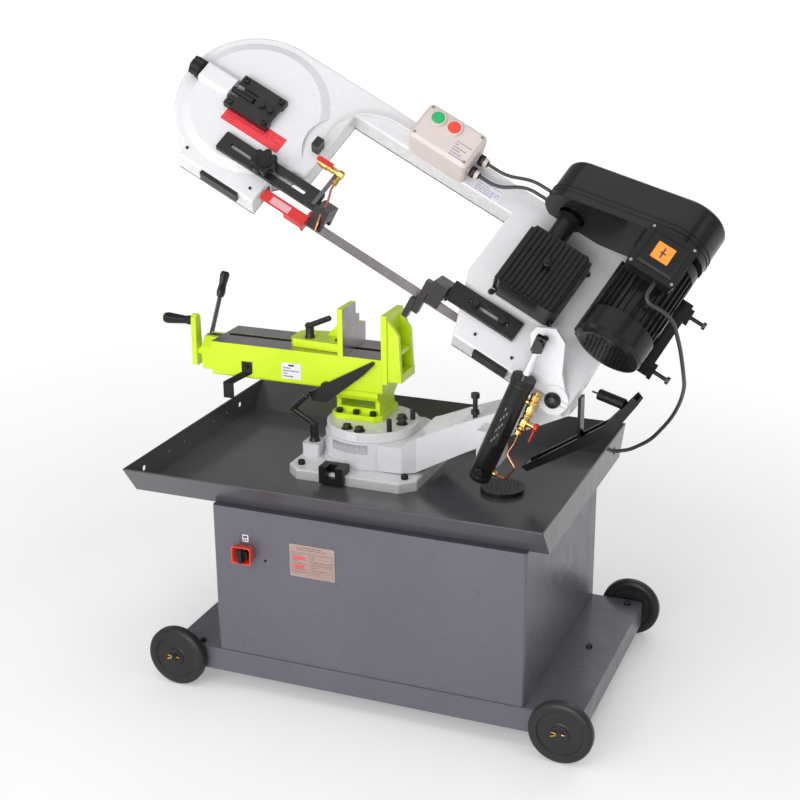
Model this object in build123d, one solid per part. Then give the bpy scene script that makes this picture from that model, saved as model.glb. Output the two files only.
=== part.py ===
from build123d import *
import math
import os

# Horizontal band saw with a swivelling, tilting bow on a wheeled cabinet stand.
# Millimetres, +Z up, +X to the right of the operator, +Y away from the operator.
# Everything is drawn about the middle of the chip tray; ORIGIN_SHIFT then puts the
# origin under the middle of the whole machine, on the floor.

ORIGIN_SHIFT = (-50.2, 3.05, 0.0)

# Stand
wheel_radius = 63.5
wheel_width = 25.0
axle_radius = 6.0
running_fit = 0.08
pan_x = (-357.6, 508.5)
pan_y = (-279.0, 237.0)
pan_top = 86.5
pan_lip = 49.3
pan_sheet = 3.0
axle_x = (-341.4, 478.3)
cabinet_x = (-254.3, 398.1)
cabinet_y = (-277.0, 235.0)
cabinet_sheet = 2.0
tray_floor = 406.2
tray_rim = 467.0
tray_half_length = 436.6
tray_half_floor = 262.0
tray_half_rim = 307.9
tray_sheet = 2.0
drain_centre = (263.0, -7.0)
drain_radius = 40.0

# Swivel and vise
turn_x, turn_y = -40.0, 42.0
base_top = 430.0
base_half = 142.0
spigot_radius = 40.0
drum_radius = 100.0
drum_top = 487.6
disc_radius = 97.0
disc_top = 508.0
disc_thickness = 20.0
bed_x = (-405.0, -8.0)
bed_y = (18.0, 144.0)
bed_z = (570.0, 645.0)
bed_wall = 11.0
slot_half = 8.0
screw_y, screw_z = 81.0, 600.0
screw_radius = 9.0
jaw_y = (14.0, 134.0)
jaw_top = 746.0
jaw_plate = 12.0
movable_face = -94.0

# Bow: raised at rest, wheels tilted
raise_angle = 28.0
tilt_angle = 45.0
pivot_x, pivot_y, pivot_z = 382.0, -30.0, 638.0
pivot_u = 440.0
blade_above_pivot = 14.7
hub_reach = (-12.0, 60.0)
stop_bolt = (208.0, -22.0)
spring_low = (512.0, -8.0, 620.0)
hub_radius = 34.0
barrel_radius = 30.0
band_wheel_radius = 133.2
blade_gap = 0.3
blade_thickness = 0.9
blade_width = 20.0
wheel_v = 133.5
idler_u = -388.0
drive_u = 312.0
face_w = 30.0
face_plate = 8.0
rear_w = -18.0
cover_w = -22.0
lobe_face_w = 38.0
guide_u = 140.0

# Drive train
gear_module = 2.0
gear_teeth = 30
gear_radius = gear_module * gear_teeth / 2
worm_radius = 11.0
worm_u = drive_u - gear_radius - worm_radius - 1.0
worm_w = 72.0
motor_u, motor_w = 478.0, 150.0
motor_radius = 64.0
worm_pulley_radius = 48.0
motor_pulley_radius = 28.0
belt_v = 318.0
button_u = (-56.0, -18.0)

# Downfeed damper
damper_y = -110.0
damper_foot = (256.0, 495.0)
damper_pin = (364.0, 758.0)
damper_radius = 22.0
damper_rod_radius = 8.0

VISE_SCREW_SPOTS = [(x, y) for x in (-108, -70, -32) for y in (22.5, 121.5)]

os.makedirs("parts", exist_ok=True)

DAMPER_ANGLE = math.degrees(
    math.atan2(damper_pin[1] - damper_foot[1], damper_pin[0] - damper_foot[0])
)
DAMPER_LENGTH = math.hypot(damper_pin[0] - damper_foot[0], damper_pin[1] - damper_foot[1])

# BLADE_FRAME: x along the blade, y away from the operator, z square to the blade.
# BOW_FRAME: the same x, y in the plane of the band wheels, z out of the bow's face.
PIVOT = Pos(pivot_x, pivot_y, pivot_z)
BLADE_FRAME = PIVOT * Rot(0, raise_angle, 0) * Pos(-pivot_u, 0, blade_above_pivot)
BOW_FRAME = BLADE_FRAME * Rot(tilt_angle, 0, 0)
DAMPER_FRAME = Pos(damper_foot[0], damper_y, damper_foot[1]) * Rot(0, 90 - DAMPER_ANGLE, 0)


def block(x0, x1, y0, y1, z0, z1):
    """A box between two corners."""
    middle = Pos((x0 + x1) / 2, (y0 + y1) / 2, (z0 + z1) / 2)
    return middle * Box(x1 - x0, y1 - y0, z1 - z0)


def rod(start, axis, radius, length):
    """A cylinder from start, along +x, +y or +z."""
    turn = {"x": Rot(0, 90, 0), "y": Rot(-90, 0, 0), "z": Rot(0, 0, 0)}[axis]
    base = (Align.CENTER, Align.CENTER, Align.MIN)
    return Pos(*start) * turn * Cylinder(radius, length, align=base)


def tube(start, axis, outer, inner, length):
    """A hollow cylinder from start, along +x, +y or +z."""
    return rod(start, axis, outer, length) - rod(start, axis, inner, length)


def cone(start, axis, first, second, length):
    """A cone from start, along +x, +y or +z."""
    turn = {"x": Rot(0, 90, 0), "y": Rot(-90, 0, 0), "z": Rot(0, 0, 0)}[axis]
    base = (Align.CENTER, Align.CENTER, Align.MIN)
    return Pos(*start) * turn * Cone(first, second, length, align=base)


def slab(points, axis, low, high):
    """A polygon given in the other two axes, extruded from low to high."""
    plane = {"x": Plane.YZ.offset(low), "y": Plane.XZ.offset(-low), "z": Plane.XY.offset(low)}[axis]
    face = make_face(Polyline(*points, close=True))
    sign = -1 if axis == "y" else 1
    return extrude(plane * face, amount=sign * (high - low))


def revolved(profile, start, axis):
    """A profile of (radius, distance) points turned about an axis through start."""
    turn = {"x": Rot(0, 90, 0), "y": Rot(-90, 0, 0), "z": Rot(0, 0, 0)}[axis]
    face = make_face(Plane.XZ * Polyline(*profile, close=True))
    return Pos(*start) * turn * revolve(face, Axis.Z, 360)


def hex_prism(start, axis, across, length):
    """A hexagonal prism from start, along +x, +y or +z."""
    turn = {"x": Rot(0, 90, 0), "y": Rot(-90, 0, 0), "z": Rot(0, 0, 0)}[axis]
    face = RegularPolygon(across / 2, 6, major_radius=False)
    return Pos(*start) * turn * extrude(face, amount=length)


def socket_screw(start, axis, radius, length, head_radius, head_height):
    """A socket-head screw; start is under the head, which points along the axis."""
    offset = {"x": (-length, 0, 0), "y": (0, -length, 0), "z": (0, 0, -length)}[axis]
    foot = tuple(a + b for a, b in zip(start, offset))
    screw = rod(foot, axis, radius, length) + rod(start, axis, head_radius, head_height)
    top = {"x": (head_height * 0.45, 0, 0), "y": (0, head_height * 0.45, 0), "z": (0, 0,
        head_height * 0.45)}[axis]
    socket = tuple(a + b for a, b in zip(start, top))
    return screw - hex_prism(socket, axis, head_radius, head_height)


def save(shape, name):
    """Write one sub-part."""
    export_step(Pos(*ORIGIN_SHIFT) * shape, f"parts/{name}.step")


# ---------------------------------------------------------------- stand


def base_pan():
    """Inverted sheet-metal pan with lips that carry the axles."""
    pan = block(*pan_x, *pan_y, pan_top - pan_lip, pan_top)
    pan = fillet(pan.edges().filter_by(Axis.Z), 8)
    inside = block(pan_x[0] + pan_sheet, pan_x[1] - pan_sheet, pan_y[0] + pan_sheet, pan_y[1] - pan_sheet,
                   0, pan_top - pan_sheet)
    pan -= inside
    for x in axle_x:
        pan -= rod((x, pan_y[0] - 5, wheel_radius), "y", axle_radius + running_fit, 600)
    return pan


def axle(x, front):
    """Wheel bolt through the pan's lip, with an inner nut, a collar and a split pin."""
    lip = pan_y[0] if front else pan_y[1]
    out = -1 if front else 1
    shank_y = (lip + out * 35, lip - out * 20)
    pin = rod((x, min(shank_y), wheel_radius), "y", axle_radius, abs(shank_y[0] - shank_y[1]))
    collar_y = lip if out > 0 else lip - 4.5
    pin += rod((x, collar_y, wheel_radius), "y", 11, 4.5)
    nut_y = lip - out * (pan_sheet + 8) if out > 0 else lip + pan_sheet
    pin += hex_prism((x, nut_y, wheel_radius), "y", 18, 8)
    washer_y = lip + out * 31 if out > 0 else lip - 32
    pin += rod((x, washer_y, wheel_radius), "y", 9, 1)
    return pin


def wheel_axles():
    """The four wheel bolts."""
    return Compound([axle(x, front) for x in axle_x for front in (True, False)])


def stand_wheel(x, front):
    """Solid rubber wheel with a ringed web and a hub."""
    lip = pan_y[0] if front else pan_y[1]
    start_y = lip - 4.9 - wheel_width if front else lip + 4.9
    r = wheel_radius
    w = wheel_width
    bore = axle_radius + running_fit
    profile = [(bore, 0), (17, 0), (18, 3), (22, 4.5), (44, 4.5), (46, 1.5), (r - 8, 0.5), (r - 2, 3),
               (r, 7), (r, w - 7), (r - 2, w - 3), (r - 8, w - 0.5), (46, w - 1.5), (44, w - 4.5),
               (22, w - 4.5), (18, w - 3), (17, w), (bore, w)]
    return revolved(profile, (x, start_y, r), "y")


def cabinet():
    """Folded sheet cabinet, open at the top and through a hatch at the back."""
    shell = block(*cabinet_x, *cabinet_y, pan_top, tray_floor)
    shell = fillet(shell.edges().filter_by(Axis.Z), 6)
    s = cabinet_sheet
    shell -= block(cabinet_x[0] + s, cabinet_x[1] - s, cabinet_y[0] + s, cabinet_y[1] - s, pan_top - 1,
        tray_floor + 1)
    flange = block(*cabinet_x, *cabinet_y, tray_floor - s, tray_floor)
    flange = fillet(flange.edges().filter_by(Axis.Z), 6)
    flange -= block(cabinet_x[0] + 25, cabinet_x[1] - 25, cabinet_y[0] + 25, cabinet_y[1] - 25, 0, 500)
    shell += flange
    shell -= block(cabinet_x[0] + 60, cabinet_x[1] - 60, cabinet_y[1] - 5, cabinet_y[1] + 5, pan_top + 40,
        tray_floor - 45)
    shell -= rod((-182, cabinet_y[0] - 5, 316), "y", 12.5, 12)
    shell -= rod((-140.7, cabinet_y[0] - 5, 302), "y", 3, 12)
    return shell


def chip_tray():
    """Drip tray with outward-leaning long walls, hanging holes and a drain."""
    def section(inset, low, high):
        lean = (tray_half_rim - tray_half_floor) / (tray_rim - tray_floor)
        low_half = tray_half_floor - inset + (low - tray_floor) * lean
        high_half = tray_half_floor - inset + (high - tray_floor) * lean
        return [(-low_half, low), (low_half, low), (high_half, high), (-high_half, high)]

    tray = slab(section(0, tray_floor, tray_rim), "x", -tray_half_length, tray_half_length)
    inner_half = tray_half_length - tray_sheet
    tray -= slab(section(tray_sheet, tray_floor + tray_sheet, tray_rim + 5), "x", -inner_half, inner_half)
    tray -= rod((*drain_centre, tray_floor - 5), "z", drain_radius, 20)
    left = -tray_half_length - 5
    for y, z, r in ((-230, 441, 6), (-128, 441, 2.2), (-66, 441, 2.2), (66, 441, 2.2), (128, 441, 2.2),
        (190, 441, 6)):
        tray -= rod((left, y, z), "x", r, 12)
    tray -= rod((tray_half_length - 6, 211, 438), "x", 9, 12)
    return tray


def drain_strainer():
    """Perforated dished strainer that drops into the tray's drain hole."""
    z = tray_floor + tray_sheet
    cup = tube((*drain_centre, z - 14), "z", drain_radius - 0.5, drain_radius - 3, 14)
    cup += tube((*drain_centre, z), "z", drain_radius + 5, drain_radius - 3, 9)
    cup += rod((*drain_centre, z + 6), "z", drain_radius - 2.5, 3)
    holes = []
    for ring in (8, 16, 24, 32):
        count = ring * 3 // 4
        for i in range(count):
            a = 2 * math.pi * i / count
            spot = (drain_centre[0] + ring * math.cos(a), drain_centre[1] + ring * math.sin(a), z)
            holes.append(rod(spot, "z", 1.8, 20))
    return cup - holes


def coolant_tank():
    """Open coolant tank that stands in the cabinet under the drain, with a pump well."""
    z = pan_top
    tank = block(60, 360, -150, 130, z, z + 140)
    tank -= block(63, 357, -147, 127, z + 3, z + 150)
    tank += block(60, 150, -147, 127, z + 137, z + 140)
    return tank


def coolant_pump():
    """Small immersion pump: motor can on the tank's lid, with an outlet."""
    z = pan_top + 140
    pump = block(75, 135, -50, 30, z, z + 6)
    pump += rod((105, -10, z + 6), "z", 27, 70)
    pump += cone((105, -10, z + 76), "z", 27, 18, 10)
    pump += rod((105, -10, z + 40), "x", 7, 45)
    return pump


# ---------------------------------------------------------------- swivel base and vise


def saw_base():
    """Cast foot with a central spigot and a boss for the swivel lock."""
    low = tray_floor + tray_sheet
    foot = block(turn_x - base_half, turn_x + base_half, turn_y - base_half, turn_y + base_half, low,
        base_top)
    foot = chamfer(foot.edges().filter_by(Axis.Z), 28)
    foot = fillet(foot.edges().group_by(Axis.Z)[-1], 4)
    foot += rod((turn_x, turn_y, base_top), "z", spigot_radius, disc_top - disc_thickness - base_top)
    boss = block(-176, -138, -24, 20, base_top - 5, base_top + 28)
    boss = fillet(boss.edges().filter_by(Axis.Z), 6)
    ring = rod((turn_x, turn_y, base_top), "z", drum_radius + 5, 100)
    foot += boss - ring
    foot -= rod((-156, -2, base_top - 10), "z", axle_radius + running_fit, 60)
    for dx in (-1, 1):
        for dy in (-1, 1):
            foot -= rod((turn_x + dx * 115, turn_y + dy * 112, low - 5), "z", 5, 40)
    return foot


def turntable_disc():
    """Round plate that closes the swivel drum and carries the vise."""
    disc = rod((turn_x, turn_y, disc_top - disc_thickness), "z", disc_radius, disc_thickness)
    return fillet(disc.edges().group_by(Axis.Z)[-1], 2)


def swivel_stop_block():
    """Stop block with a clamping slot on the front of the foot."""
    stop = block(-97, -44, turn_y - base_half - 12, turn_y - base_half, 412, 448)
    stop += block(-97, -44, turn_y - base_half - 12, turn_y - base_half + 24, base_top, 448)
    return stop - block(-80, -61, turn_y - base_half - 20, turn_y - base_half + 10, 424, 460)


def vise_bed():
    """Cast bed with a slotted, machined top, a pedestal and the screw's end bracket."""
    bed = block(*bed_x, *bed_y, *bed_z)
    bed = fillet(bed.edges().filter_by(Axis.X).group_by(Axis.Z)[0], 6)
    bed -= block(bed_x[0] + 12, bed_x[1] - 12, bed_y[0] + bed_wall, bed_y[1] - bed_wall, 0, bed_z[1] - 13)
    bed -= block(bed_x[0] + 12, bed_x[1] - 12, screw_y - slot_half, screw_y + slot_half, 600, 700)
    pedestal = slab([(20, 571), (20, 560), (32, 546), (32, 520.5), (112, 520.5), (112, 546), (134, 560),
        (134, 571)],
                    "x", -118, -20)
    pedestal -= block(-108, -30, bed_y[0] + bed_wall, bed_y[1] - bed_wall, 532, 600)
    flange = block(-127, -13, 14, 130, disc_top, 520.5)
    flange = chamfer(flange.edges().filter_by(Axis.Z), 14)
    bed += pedestal + flange
    low_y, high_y = screw_y - 32, screw_y + 32
    bed += slab([(low_y, 570), (high_y, 570), (high_y + 6, 620), (high_y - 14, 640), (low_y + 14, 640),
        (low_y - 6, 620)],
                "x", -445, -405)
    bed -= rod((-460, screw_y, screw_z), "x", screw_radius + running_fit, 75)
    bed -= rod((-60, screw_y, screw_z), "x", screw_radius + running_fit, 42)
    bed -= rod((-135, bed_y[0] - 5, 577), "y", 5 + running_fit, 35)
    bed -= rod((-460, 106, 622), "x", 4 + running_fit, 40)
    for x, y in VISE_SCREW_SPOTS:
        bed -= rod((x, y, disc_top + 2), "z", 4.1, 20)
    return bed


def vise_screws():
    """Black socket screws that hold the vise's flange to the disc."""
    screws = [socket_screw((x, y, 520.5), "z", 4, 9, 7, 8) for x, y in VISE_SCREW_SPOTS]
    return Compound(screws)


def fixed_jaw():
    """Upright jaw bolted to the right-hand end of the bed, ribbed behind, with a ground face."""
    face = bed_x[1]
    front, rear = jaw_y
    outline = [(front, 594), (front, jaw_top - 5), (rear - 30, jaw_top - 5), (rear, 700), (rear, 594)]
    plate = slab(outline, "x", face, face + jaw_plate)
    for y in (front + 4, rear - 50):
        rib = [(face + jaw_plate, 600), (face + jaw_plate, 732), (face + 36, 700), (face + 42, 600)]
        plate += slab(rib, "y", y, y + 10)
    plate += block(face + jaw_plate, face + 42, front + 4, rear - 40, 600, 618)
    plate += block(face + jaw_plate, face + 36, front + 4, rear - 40, 656, 664)
    ground = bed_z[1] + 0.3
    outline = [(front, ground), (front, jaw_top - 5), (rear - 30, jaw_top - 5), (rear, 700), (rear, ground)]
    return plate + slab(outline, "x", face - 1, face)


def movable_jaw():
    """Sliding jaw with a stepped plate, a gusset, a foot and a tongue in the slot."""
    back = movable_face - jaw_plate
    top = bed_z[1] + 0.3
    front = jaw_y[0]
    outline = [(front, top), (front, jaw_top), (front + 70, jaw_top), (front + 70, 721), (front + 88, 715),
               (front + 88, 693), (jaw_y[1], 690), (jaw_y[1], top)]
    jaw = slab(outline, "x", back, movable_face)
    jaw += slab([(-222, 44), (-232, 56), (-232, 100), (-222, 112), (back, 126), (back, 34)], "z", top,
        top + 18)
    jaw += slab([(back + 4, 728), (back, 728), (-160, top + 20), (-160, top + 10), (back + 4, top + 10)],
        "y", 86, 96)
    jaw += block(-215, -150, screw_y - 7, screw_y + 7, 624, top)
    jaw -= rod((-191, 62, 600), "z", 6 + running_fit, 100)
    return jaw


def jaw_nut():
    """Bronze nut that the screw drives, held under the jaw's tongue."""
    nut = block(-215, -165, screw_y - 20, screw_y + 20, 580, 624)
    nut -= rod((-230, screw_y, screw_z), "x", screw_radius + running_fit, 80)
    return nut


def jaw_clamp_lever():
    """Indexing lever with its stud through the jaw's foot."""
    top = bed_z[1] + 18.6
    spot = (-191, 62)
    lever = rod((*spot, bed_z[1] + 2), "z", 6, 17)
    lever += revolved([(0, 0), (11, 0), (9, 8), (9, 22), (11, 26), (8, 31), (0, 31)], (*spot, top), "z")
    path = Line((*spot, top + 26), (-140, 48, top + 50))
    lever += sweep(Plane(path @ 0, z_dir=path % 0) * Circle(6), path=path)
    return lever + Pos(-140, 48, top + 50) * Sphere(6)


def lead_screw():
    """Vise screw with its thrust collar and the crank's square end."""
    screw = rod((-470, screw_y, screw_z), "x", screw_radius, 440)
    screw += rod((-456, screw_y, screw_z), "x", 14, 10.6)
    screw += block(-484, -470, screw_y - 5, screw_y + 5, screw_z - 5, screw_z + 5)
    return screw


def crank_arm():
    """Flat crank on the screw's square end, with the handle's stud."""
    outline = [(screw_y - 13, screw_z - 32), (screw_y + 13, screw_z - 32), (screw_y + 11, screw_z + 76),
               (screw_y, screw_z + 84), (screw_y - 11, screw_z + 76)]
    arm = slab(outline, "x", -482, -470.1)
    arm = fillet(arm.edges().filter_by(Axis.X), 4)
    arm -= block(-490, -460, screw_y - 5.02, screw_y + 5.02, screw_z - 5.02, screw_z + 5.02)
    arm += rod((-552, screw_y, screw_z + 66), "x", 5, 71)
    arm += rod((-555, screw_y, screw_z + 66), "x", 8, 3)
    return arm


def crank_handle():
    """Grip that spins on the crank's stud."""
    bore = 5 + running_fit
    profile = [(bore, 0), (11, 0), (12.5, 8), (11, 26), (9, 50), (10.5, 62), (9, 66), (bore, 66)]
    return revolved(profile, (-551.6, screw_y, screw_z + 66), "x")


def quick_lever():
    """Steel rod lever with a plastic grip that frees the screw's nut."""
    lever = rod((-462, 106, 622), "x", 10, 16.6) + rod((-448, 106, 622), "x", 4, 28)
    shaft = rod((0, 0, 0), "z", 5, 96)
    shaft += revolved([(0, 96), (8, 96), (10, 106), (8.5, 124), (11, 146), (9, 153), (0, 153)], (0, 0, 0),
        "z")
    return lever + Pos(-455, 106, 622) * Rot(-32, 0, 0) * shaft


def vise_lever():
    """Tapered flat lever on the front of the bed."""
    outline = [(-173, 560), (-130, 585), (-26, 643), (-23, 636), (-46, 612), (-130, 543), (-163, 542)]
    lever = slab(outline, "y", 8, 14)
    lever = fillet(lever.edges().filter_by(Axis.Y), 2)
    lever += rod((-135, 8, 577), "y", 9, 9.7)
    return lever + rod((-135, 12, 577), "y", 5, 30)


def swivel_lock_lever():
    """Cranked lever that locks the swivel, with its stud in the foot's boss."""
    top = base_top + 28.4
    lever = rod((-156, -2, base_top - 6), "z", axle_radius, top - base_top + 6)
    lever += revolved([(0, 0), (12, 0), (9, 8), (9, 34), (11, 38), (8, 43), (0, 43)], (-156, -2, top), "z")
    corners = [(-156, -2, top + 38), (-202, -8, top + 68), (-168, -12, top + 100)]
    for a, b in zip(corners, corners[1:]):
        path = Line(a, b)
        lever += sweep(Plane(path @ 0, z_dir=path % 0) * Circle(6), path=path)
        lever += Pos(*b) * Sphere(6)
    return lever


# ---------------------------------------------------------------- swivel arm and damper


def swivel_arm():
    """Rising cast arm: a drum on the foot's spigot, up to the bow's hinge hub."""
    drum_low = base_top + 0.4
    arm = rod((turn_x, turn_y, drum_low), "z", drum_radius, drum_top - drum_low)
    arm += rod((turn_x, turn_y, drum_low), "z", drum_radius + 4, 9)
    side = [(10, 431), (86, 433), (183, 486), (268, 530), (330, 561), (404, 596), (412, 638), (352, 638),
        (340, 596),
            (262, 586), (182, 552), (70, 499), (62, 487.6), (10, 487.6)]
    back = pivot_y + hub_reach[1] - 4
    front = pivot_y + hub_reach[0] + 4
    plan = [(0, -54), (62, -54), (88, -40), (300, front), (420, front), (420, back), (334, back), (290, 60),
            (88, 110), (40, 138), (0, 138)]
    arm += slab(side, "y", -54, 138) & slab(plan, "z", 400, 700)
    arm += rod((pivot_x, pivot_y + hub_reach[0], pivot_z), "y", hub_radius, hub_reach[1] - hub_reach[0])
    ear = [(234, 560), (232, 500), (242, 480), (268, 478), (282, 496), (282, 560)]
    arm += slab(ear, "y", damper_y + damper_radius + 2, front)
    bore = rod((turn_x, turn_y, 400), "z", spigot_radius + running_fit, 200)
    pocket = rod((turn_x, turn_y, drum_top), "z", disc_radius + 3, 60)
    hinge = rod((pivot_x, -100, pivot_z), "y", 14, 200)
    foot = rod((damper_foot[0], -120, damper_foot[1]), "y", 6, 200)
    stop = rod((stop_bolt[0], stop_bolt[1], 520), "z", 5, 100)
    return arm - bore - pocket - hinge - foot - stop




def hinge_pins():
    """Hinge shaft with its domed cap, the damper's foot bolt and the bow's stop bolt."""
    shaft = rod((pivot_x, pivot_y - 50, pivot_z), "y", 14, 146)
    shaft += revolved([(0, 0), (9, 2), (14, 6), (16, 10), (16, 14), (0, 14)], (pivot_x, pivot_y - 61,
        pivot_z), "y")
    foot = rod((damper_foot[0], damper_y - 26, damper_foot[1]), "y", 6, 98)
    foot += hex_prism((damper_foot[0], damper_y - 32, damper_foot[1]), "y", 17, 8)
    stop = rod((*stop_bolt, 530), "z", 5, 80) + hex_prism((*stop_bolt, 604), "z", 16, 10)
    stop += hex_prism((*stop_bolt, 570), "z", 16, 8)
    return Compound([shaft, foot, stop])


def spring_bracket():
    """Channel under the arm that anchors the counterweight spring."""
    low_y, high_y = -30, 14
    outline = [(308, 474), (320, 466), (486, 562), (536, 632), (526, 644), (472, 582)]
    inside = [(294, 488), (324, 474), (482, 567), (550, 660), (520, 660), (464, 590)]
    channel = slab(outline, "y", low_y, high_y) - slab(inside, "y", low_y + 4, high_y - 4)
    return channel + block(417, 423, -22, 6, 528, 628)


def counter_spring():
    """Extension spring that balances the bow, as close coils between two hooks."""
    low = Vector(*spring_low)
    high = (BOW_FRAME * Pos(490, 33, -20)).position
    frame = Plane(origin=low, z_dir=high - low)
    length = (high - low).length
    pitch = 4.4
    turns = int((length - 18) / pitch)
    spring = Cylinder(1.8, length, align=(Align.CENTER, Align.CENTER, Align.MIN))
    for i in range(turns):
        spring += Pos(0, 0, 9 + i * pitch) * Torus(9, 2.3)
    for end in (9, 9 + (turns - 1) * pitch):
        spring += Pos(0, 0, end) * Cylinder(9, 2)
    return frame.location * spring


def damper_cylinder():
    """Hydraulic downfeed cylinder with its end caps."""
    body = rod((0, 0, -22), "z", damper_radius, 222)
    body += rod((0, 0, 196), "z", damper_radius + 2, 14)
    body += rod((0, 0, -26), "z", damper_radius - 4, 4)
    body -= rod((0, 0, 18), "z", damper_rod_radius + 8, 180)
    body -= rod((0, 0, 180), "z", damper_rod_radius + running_fit, 60)
    body = DAMPER_FRAME * body
    body -= rod((damper_foot[0], -150, damper_foot[1]), "y", 6 + running_fit, 200)
    return body - rod((damper_foot[0], damper_y - 30, damper_foot[1]), "y", 9.5, 10)


def damper_valve():
    """Brass needle valve on the side of the cylinder, with its elbows."""
    side = damper_radius + 13
    valve = rod((side, 0, 110), "z", 7, 66)
    valve += hex_prism((side, 0, 122), "z", 17, 12)
    valve += hex_prism((side, 0, 150), "z", 17, 12)
    valve += rod((side, 0, 176), "z", 9.5, 14)
    valve += rod((damper_radius, 0, 168), "x", 5, 13)
    valve += rod((side, 0, 128), "x", 6, 20)
    return DAMPER_FRAME * valve


def damper_pipe():
    """Copper return pipe from the valve to the foot of the cylinder."""
    side = damper_radius + 13
    path = FilletPolyline((side, 0, 110), (side, 0, 78), (side - 4, -4, 52), (side + 22, -8, 36),
        (side + 14, -6, 4),
                          (side - 6, 0, 0), (damper_radius, 0, 0), radius=7)
    pipe = sweep(Plane(path @ 0, z_dir=path % 0) * Circle(2.5), path=path)
    return DAMPER_FRAME * pipe


def damper_valve_handle():
    """Small red handle that sets the downfeed rate."""
    side = damper_radius + 33.5
    handle = rod((side, 0, 128), "x", 8, 7)
    handle += block(side + 2, side + 5, -5, 5, 96, 128)
    return DAMPER_FRAME * handle


def damper_rod():
    """Chromed piston rod with its piston and a slotted eye."""
    shaft = rod((0, 0, 130), "z", damper_rod_radius, DAMPER_LENGTH - 14 - 130)
    shaft += rod((0, 0, 122), "z", damper_rod_radius + 7.9, 12)
    eye = block(-11, 11, -8, 8, DAMPER_LENGTH - 18, DAMPER_LENGTH + 14)
    eye -= block(-6.5, 6.5, -10, 10, DAMPER_LENGTH - 7, DAMPER_LENGTH + 7)
    return DAMPER_FRAME * (shaft + eye)


# ---------------------------------------------------------------- bow


def bow_outline(inset):
    """Outline of the bow in the plane of the wheels, drawn in by inset."""
    i = inset
    top = 298 - i
    left = Pos(idler_u, wheel_v) * Circle(165 - i)
    left += make_face(Polyline((-388, 60 + i), (-215 - i, 60 + i), (-215 - i, top), (-388, top),
        close=True))
    left += make_face(Polyline((-452 + i, -42 + i), (-268 - i, -42 + i), (-268 - i, 90), (-452 + i, 90),
        close=True))
    spine = make_face(Polyline((-388, 236 + i), (472 - i, 236 + i), (472 - i, top), (-388, top),
        close=True))
    right = make_face(Polyline((160 + i, top), (160 + i, 88), (212 + i * 0.8, -45 + i), (472 - i,
        -45 + i), (472 - i, top), close=True))
    return left + spine + right


def bow_casting():
    """One-piece cast bow: face plate, rim walls, raised lobe, hinge barrel and damper lug."""
    bow = extrude(Pos(0, 0, rear_w) * bow_outline(0), amount=face_w - rear_w)
    bow = fillet(bow.edges().group_by(Axis.Z)[-1], 5)
    bow -= extrude(Pos(0, 0, rear_w - 1) * bow_outline(8), amount=face_w - face_plate - rear_w + 1)
    lobe = rod((idler_u, wheel_v, face_w - 4), "z", 158, 0.5) + cone((idler_u, wheel_v, face_w - 3.5),
        "z", 158, 132, 11.5)
    lobe -= rod((-190, 150, 0), "z", 78, 100)
    lobe -= block(-240, 0, -200, 400, 0, 100)
    bow += lobe & block(-600, -200, -34, 292, 0, 100)
    ridge = block(-516, -444, wheel_v - 22, wheel_v + 22, face_w - 4, 58)
    ridge = fillet(ridge.edges().filter_by(Axis.X).group_by(Axis.Z)[-1], 8)
    bow += ridge
    bow += block(222, 358, 68, 216, face_w - 1, face_w + 2)
    bow -= rod((-700, wheel_v, 48), "x", 6 + running_fit, 300)
    bow -= rod((-560, wheel_v, 48), "x", 22.5, 43.5)
    bow -= block(-414, -362, wheel_v - 12, wheel_v + 12, 0, 100)
    bow -= block(-290, -250, -15, 15, -16, 16)
    bow -= block(160, 240, -15, 15, -16, 16)
    bow -= rod((drive_u, wheel_v, 0), "z", 24, 60)
    bow -= rod((-289, 29, 0), "z", 4.5 + running_fit, 60)
    bow = BOW_FRAME * bow

    front_barrel = rod((pivot_x, pivot_y - 46, pivot_z), "y", barrel_radius, 31)
    rear_barrel = rod((pivot_x, pivot_y + 64, pivot_z), "y", barrel_radius, 24)
    web = BLADE_FRAME * block(pivot_u - 16, pivot_u + 32, 64, 88, -blade_above_pivot, 66)
    hollow = BOW_FRAME * block(0, pivot_u + 24, -37, 290, -18, 60)
    ear = [(354, 625), (340, 700), (334, 764), (346, 778), (384, 778), (402, 752), (398, 690), (408, 645),
        (400, 614)]
    lug = slab(ear, "y", pivot_y - 44, pivot_y - 34)
    bow += front_barrel + lug + rear_barrel + (web - hollow)
    low, high = hub_reach[0] - 3, hub_reach[1] + 3
    hub_gap = rod((pivot_x, pivot_y + low, pivot_z), "y", hub_radius + 5, high - low)
    neck_gap = BLADE_FRAME * block(pivot_u - 52, pivot_u + 100, low, high, -160, -blade_above_pivot)
    bow -= hub_gap + neck_gap
    bow -= rod((pivot_x, -100, pivot_z), "y", 14 + running_fit, 200)
    bow -= rod((pivot_x, -100, pivot_z), "y", 17, 23.6)
    bow -= rod((damper_pin[0], -100, damper_pin[1]), "y", 6, 60)
    return bow


def damper_head_pin():
    """Pin in the bow's lug that the damper's eye rides on."""
    inner_face = pivot_y - 46
    pin = rod((damper_pin[0], damper_y - 12, damper_pin[1]), "y", 4.5, inner_face - damper_y + 12)
    pin += rod((damper_pin[0], damper_y - 15, damper_pin[1]), "y", 9, 3)
    return pin + rod((damper_pin[0], inner_face, damper_pin[1]), "y", 6, 10)


def rear_cover():
    """Sheet cover over both band wheels and the spine, cut back round the hinge."""
    cover = extrude(Pos(0, 0, cover_w) * bow_outline(0), amount=rear_w - cover_w)
    cover -= block(372, 520, -80, 118, -60, 0)
    return BOW_FRAME * cover


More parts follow.
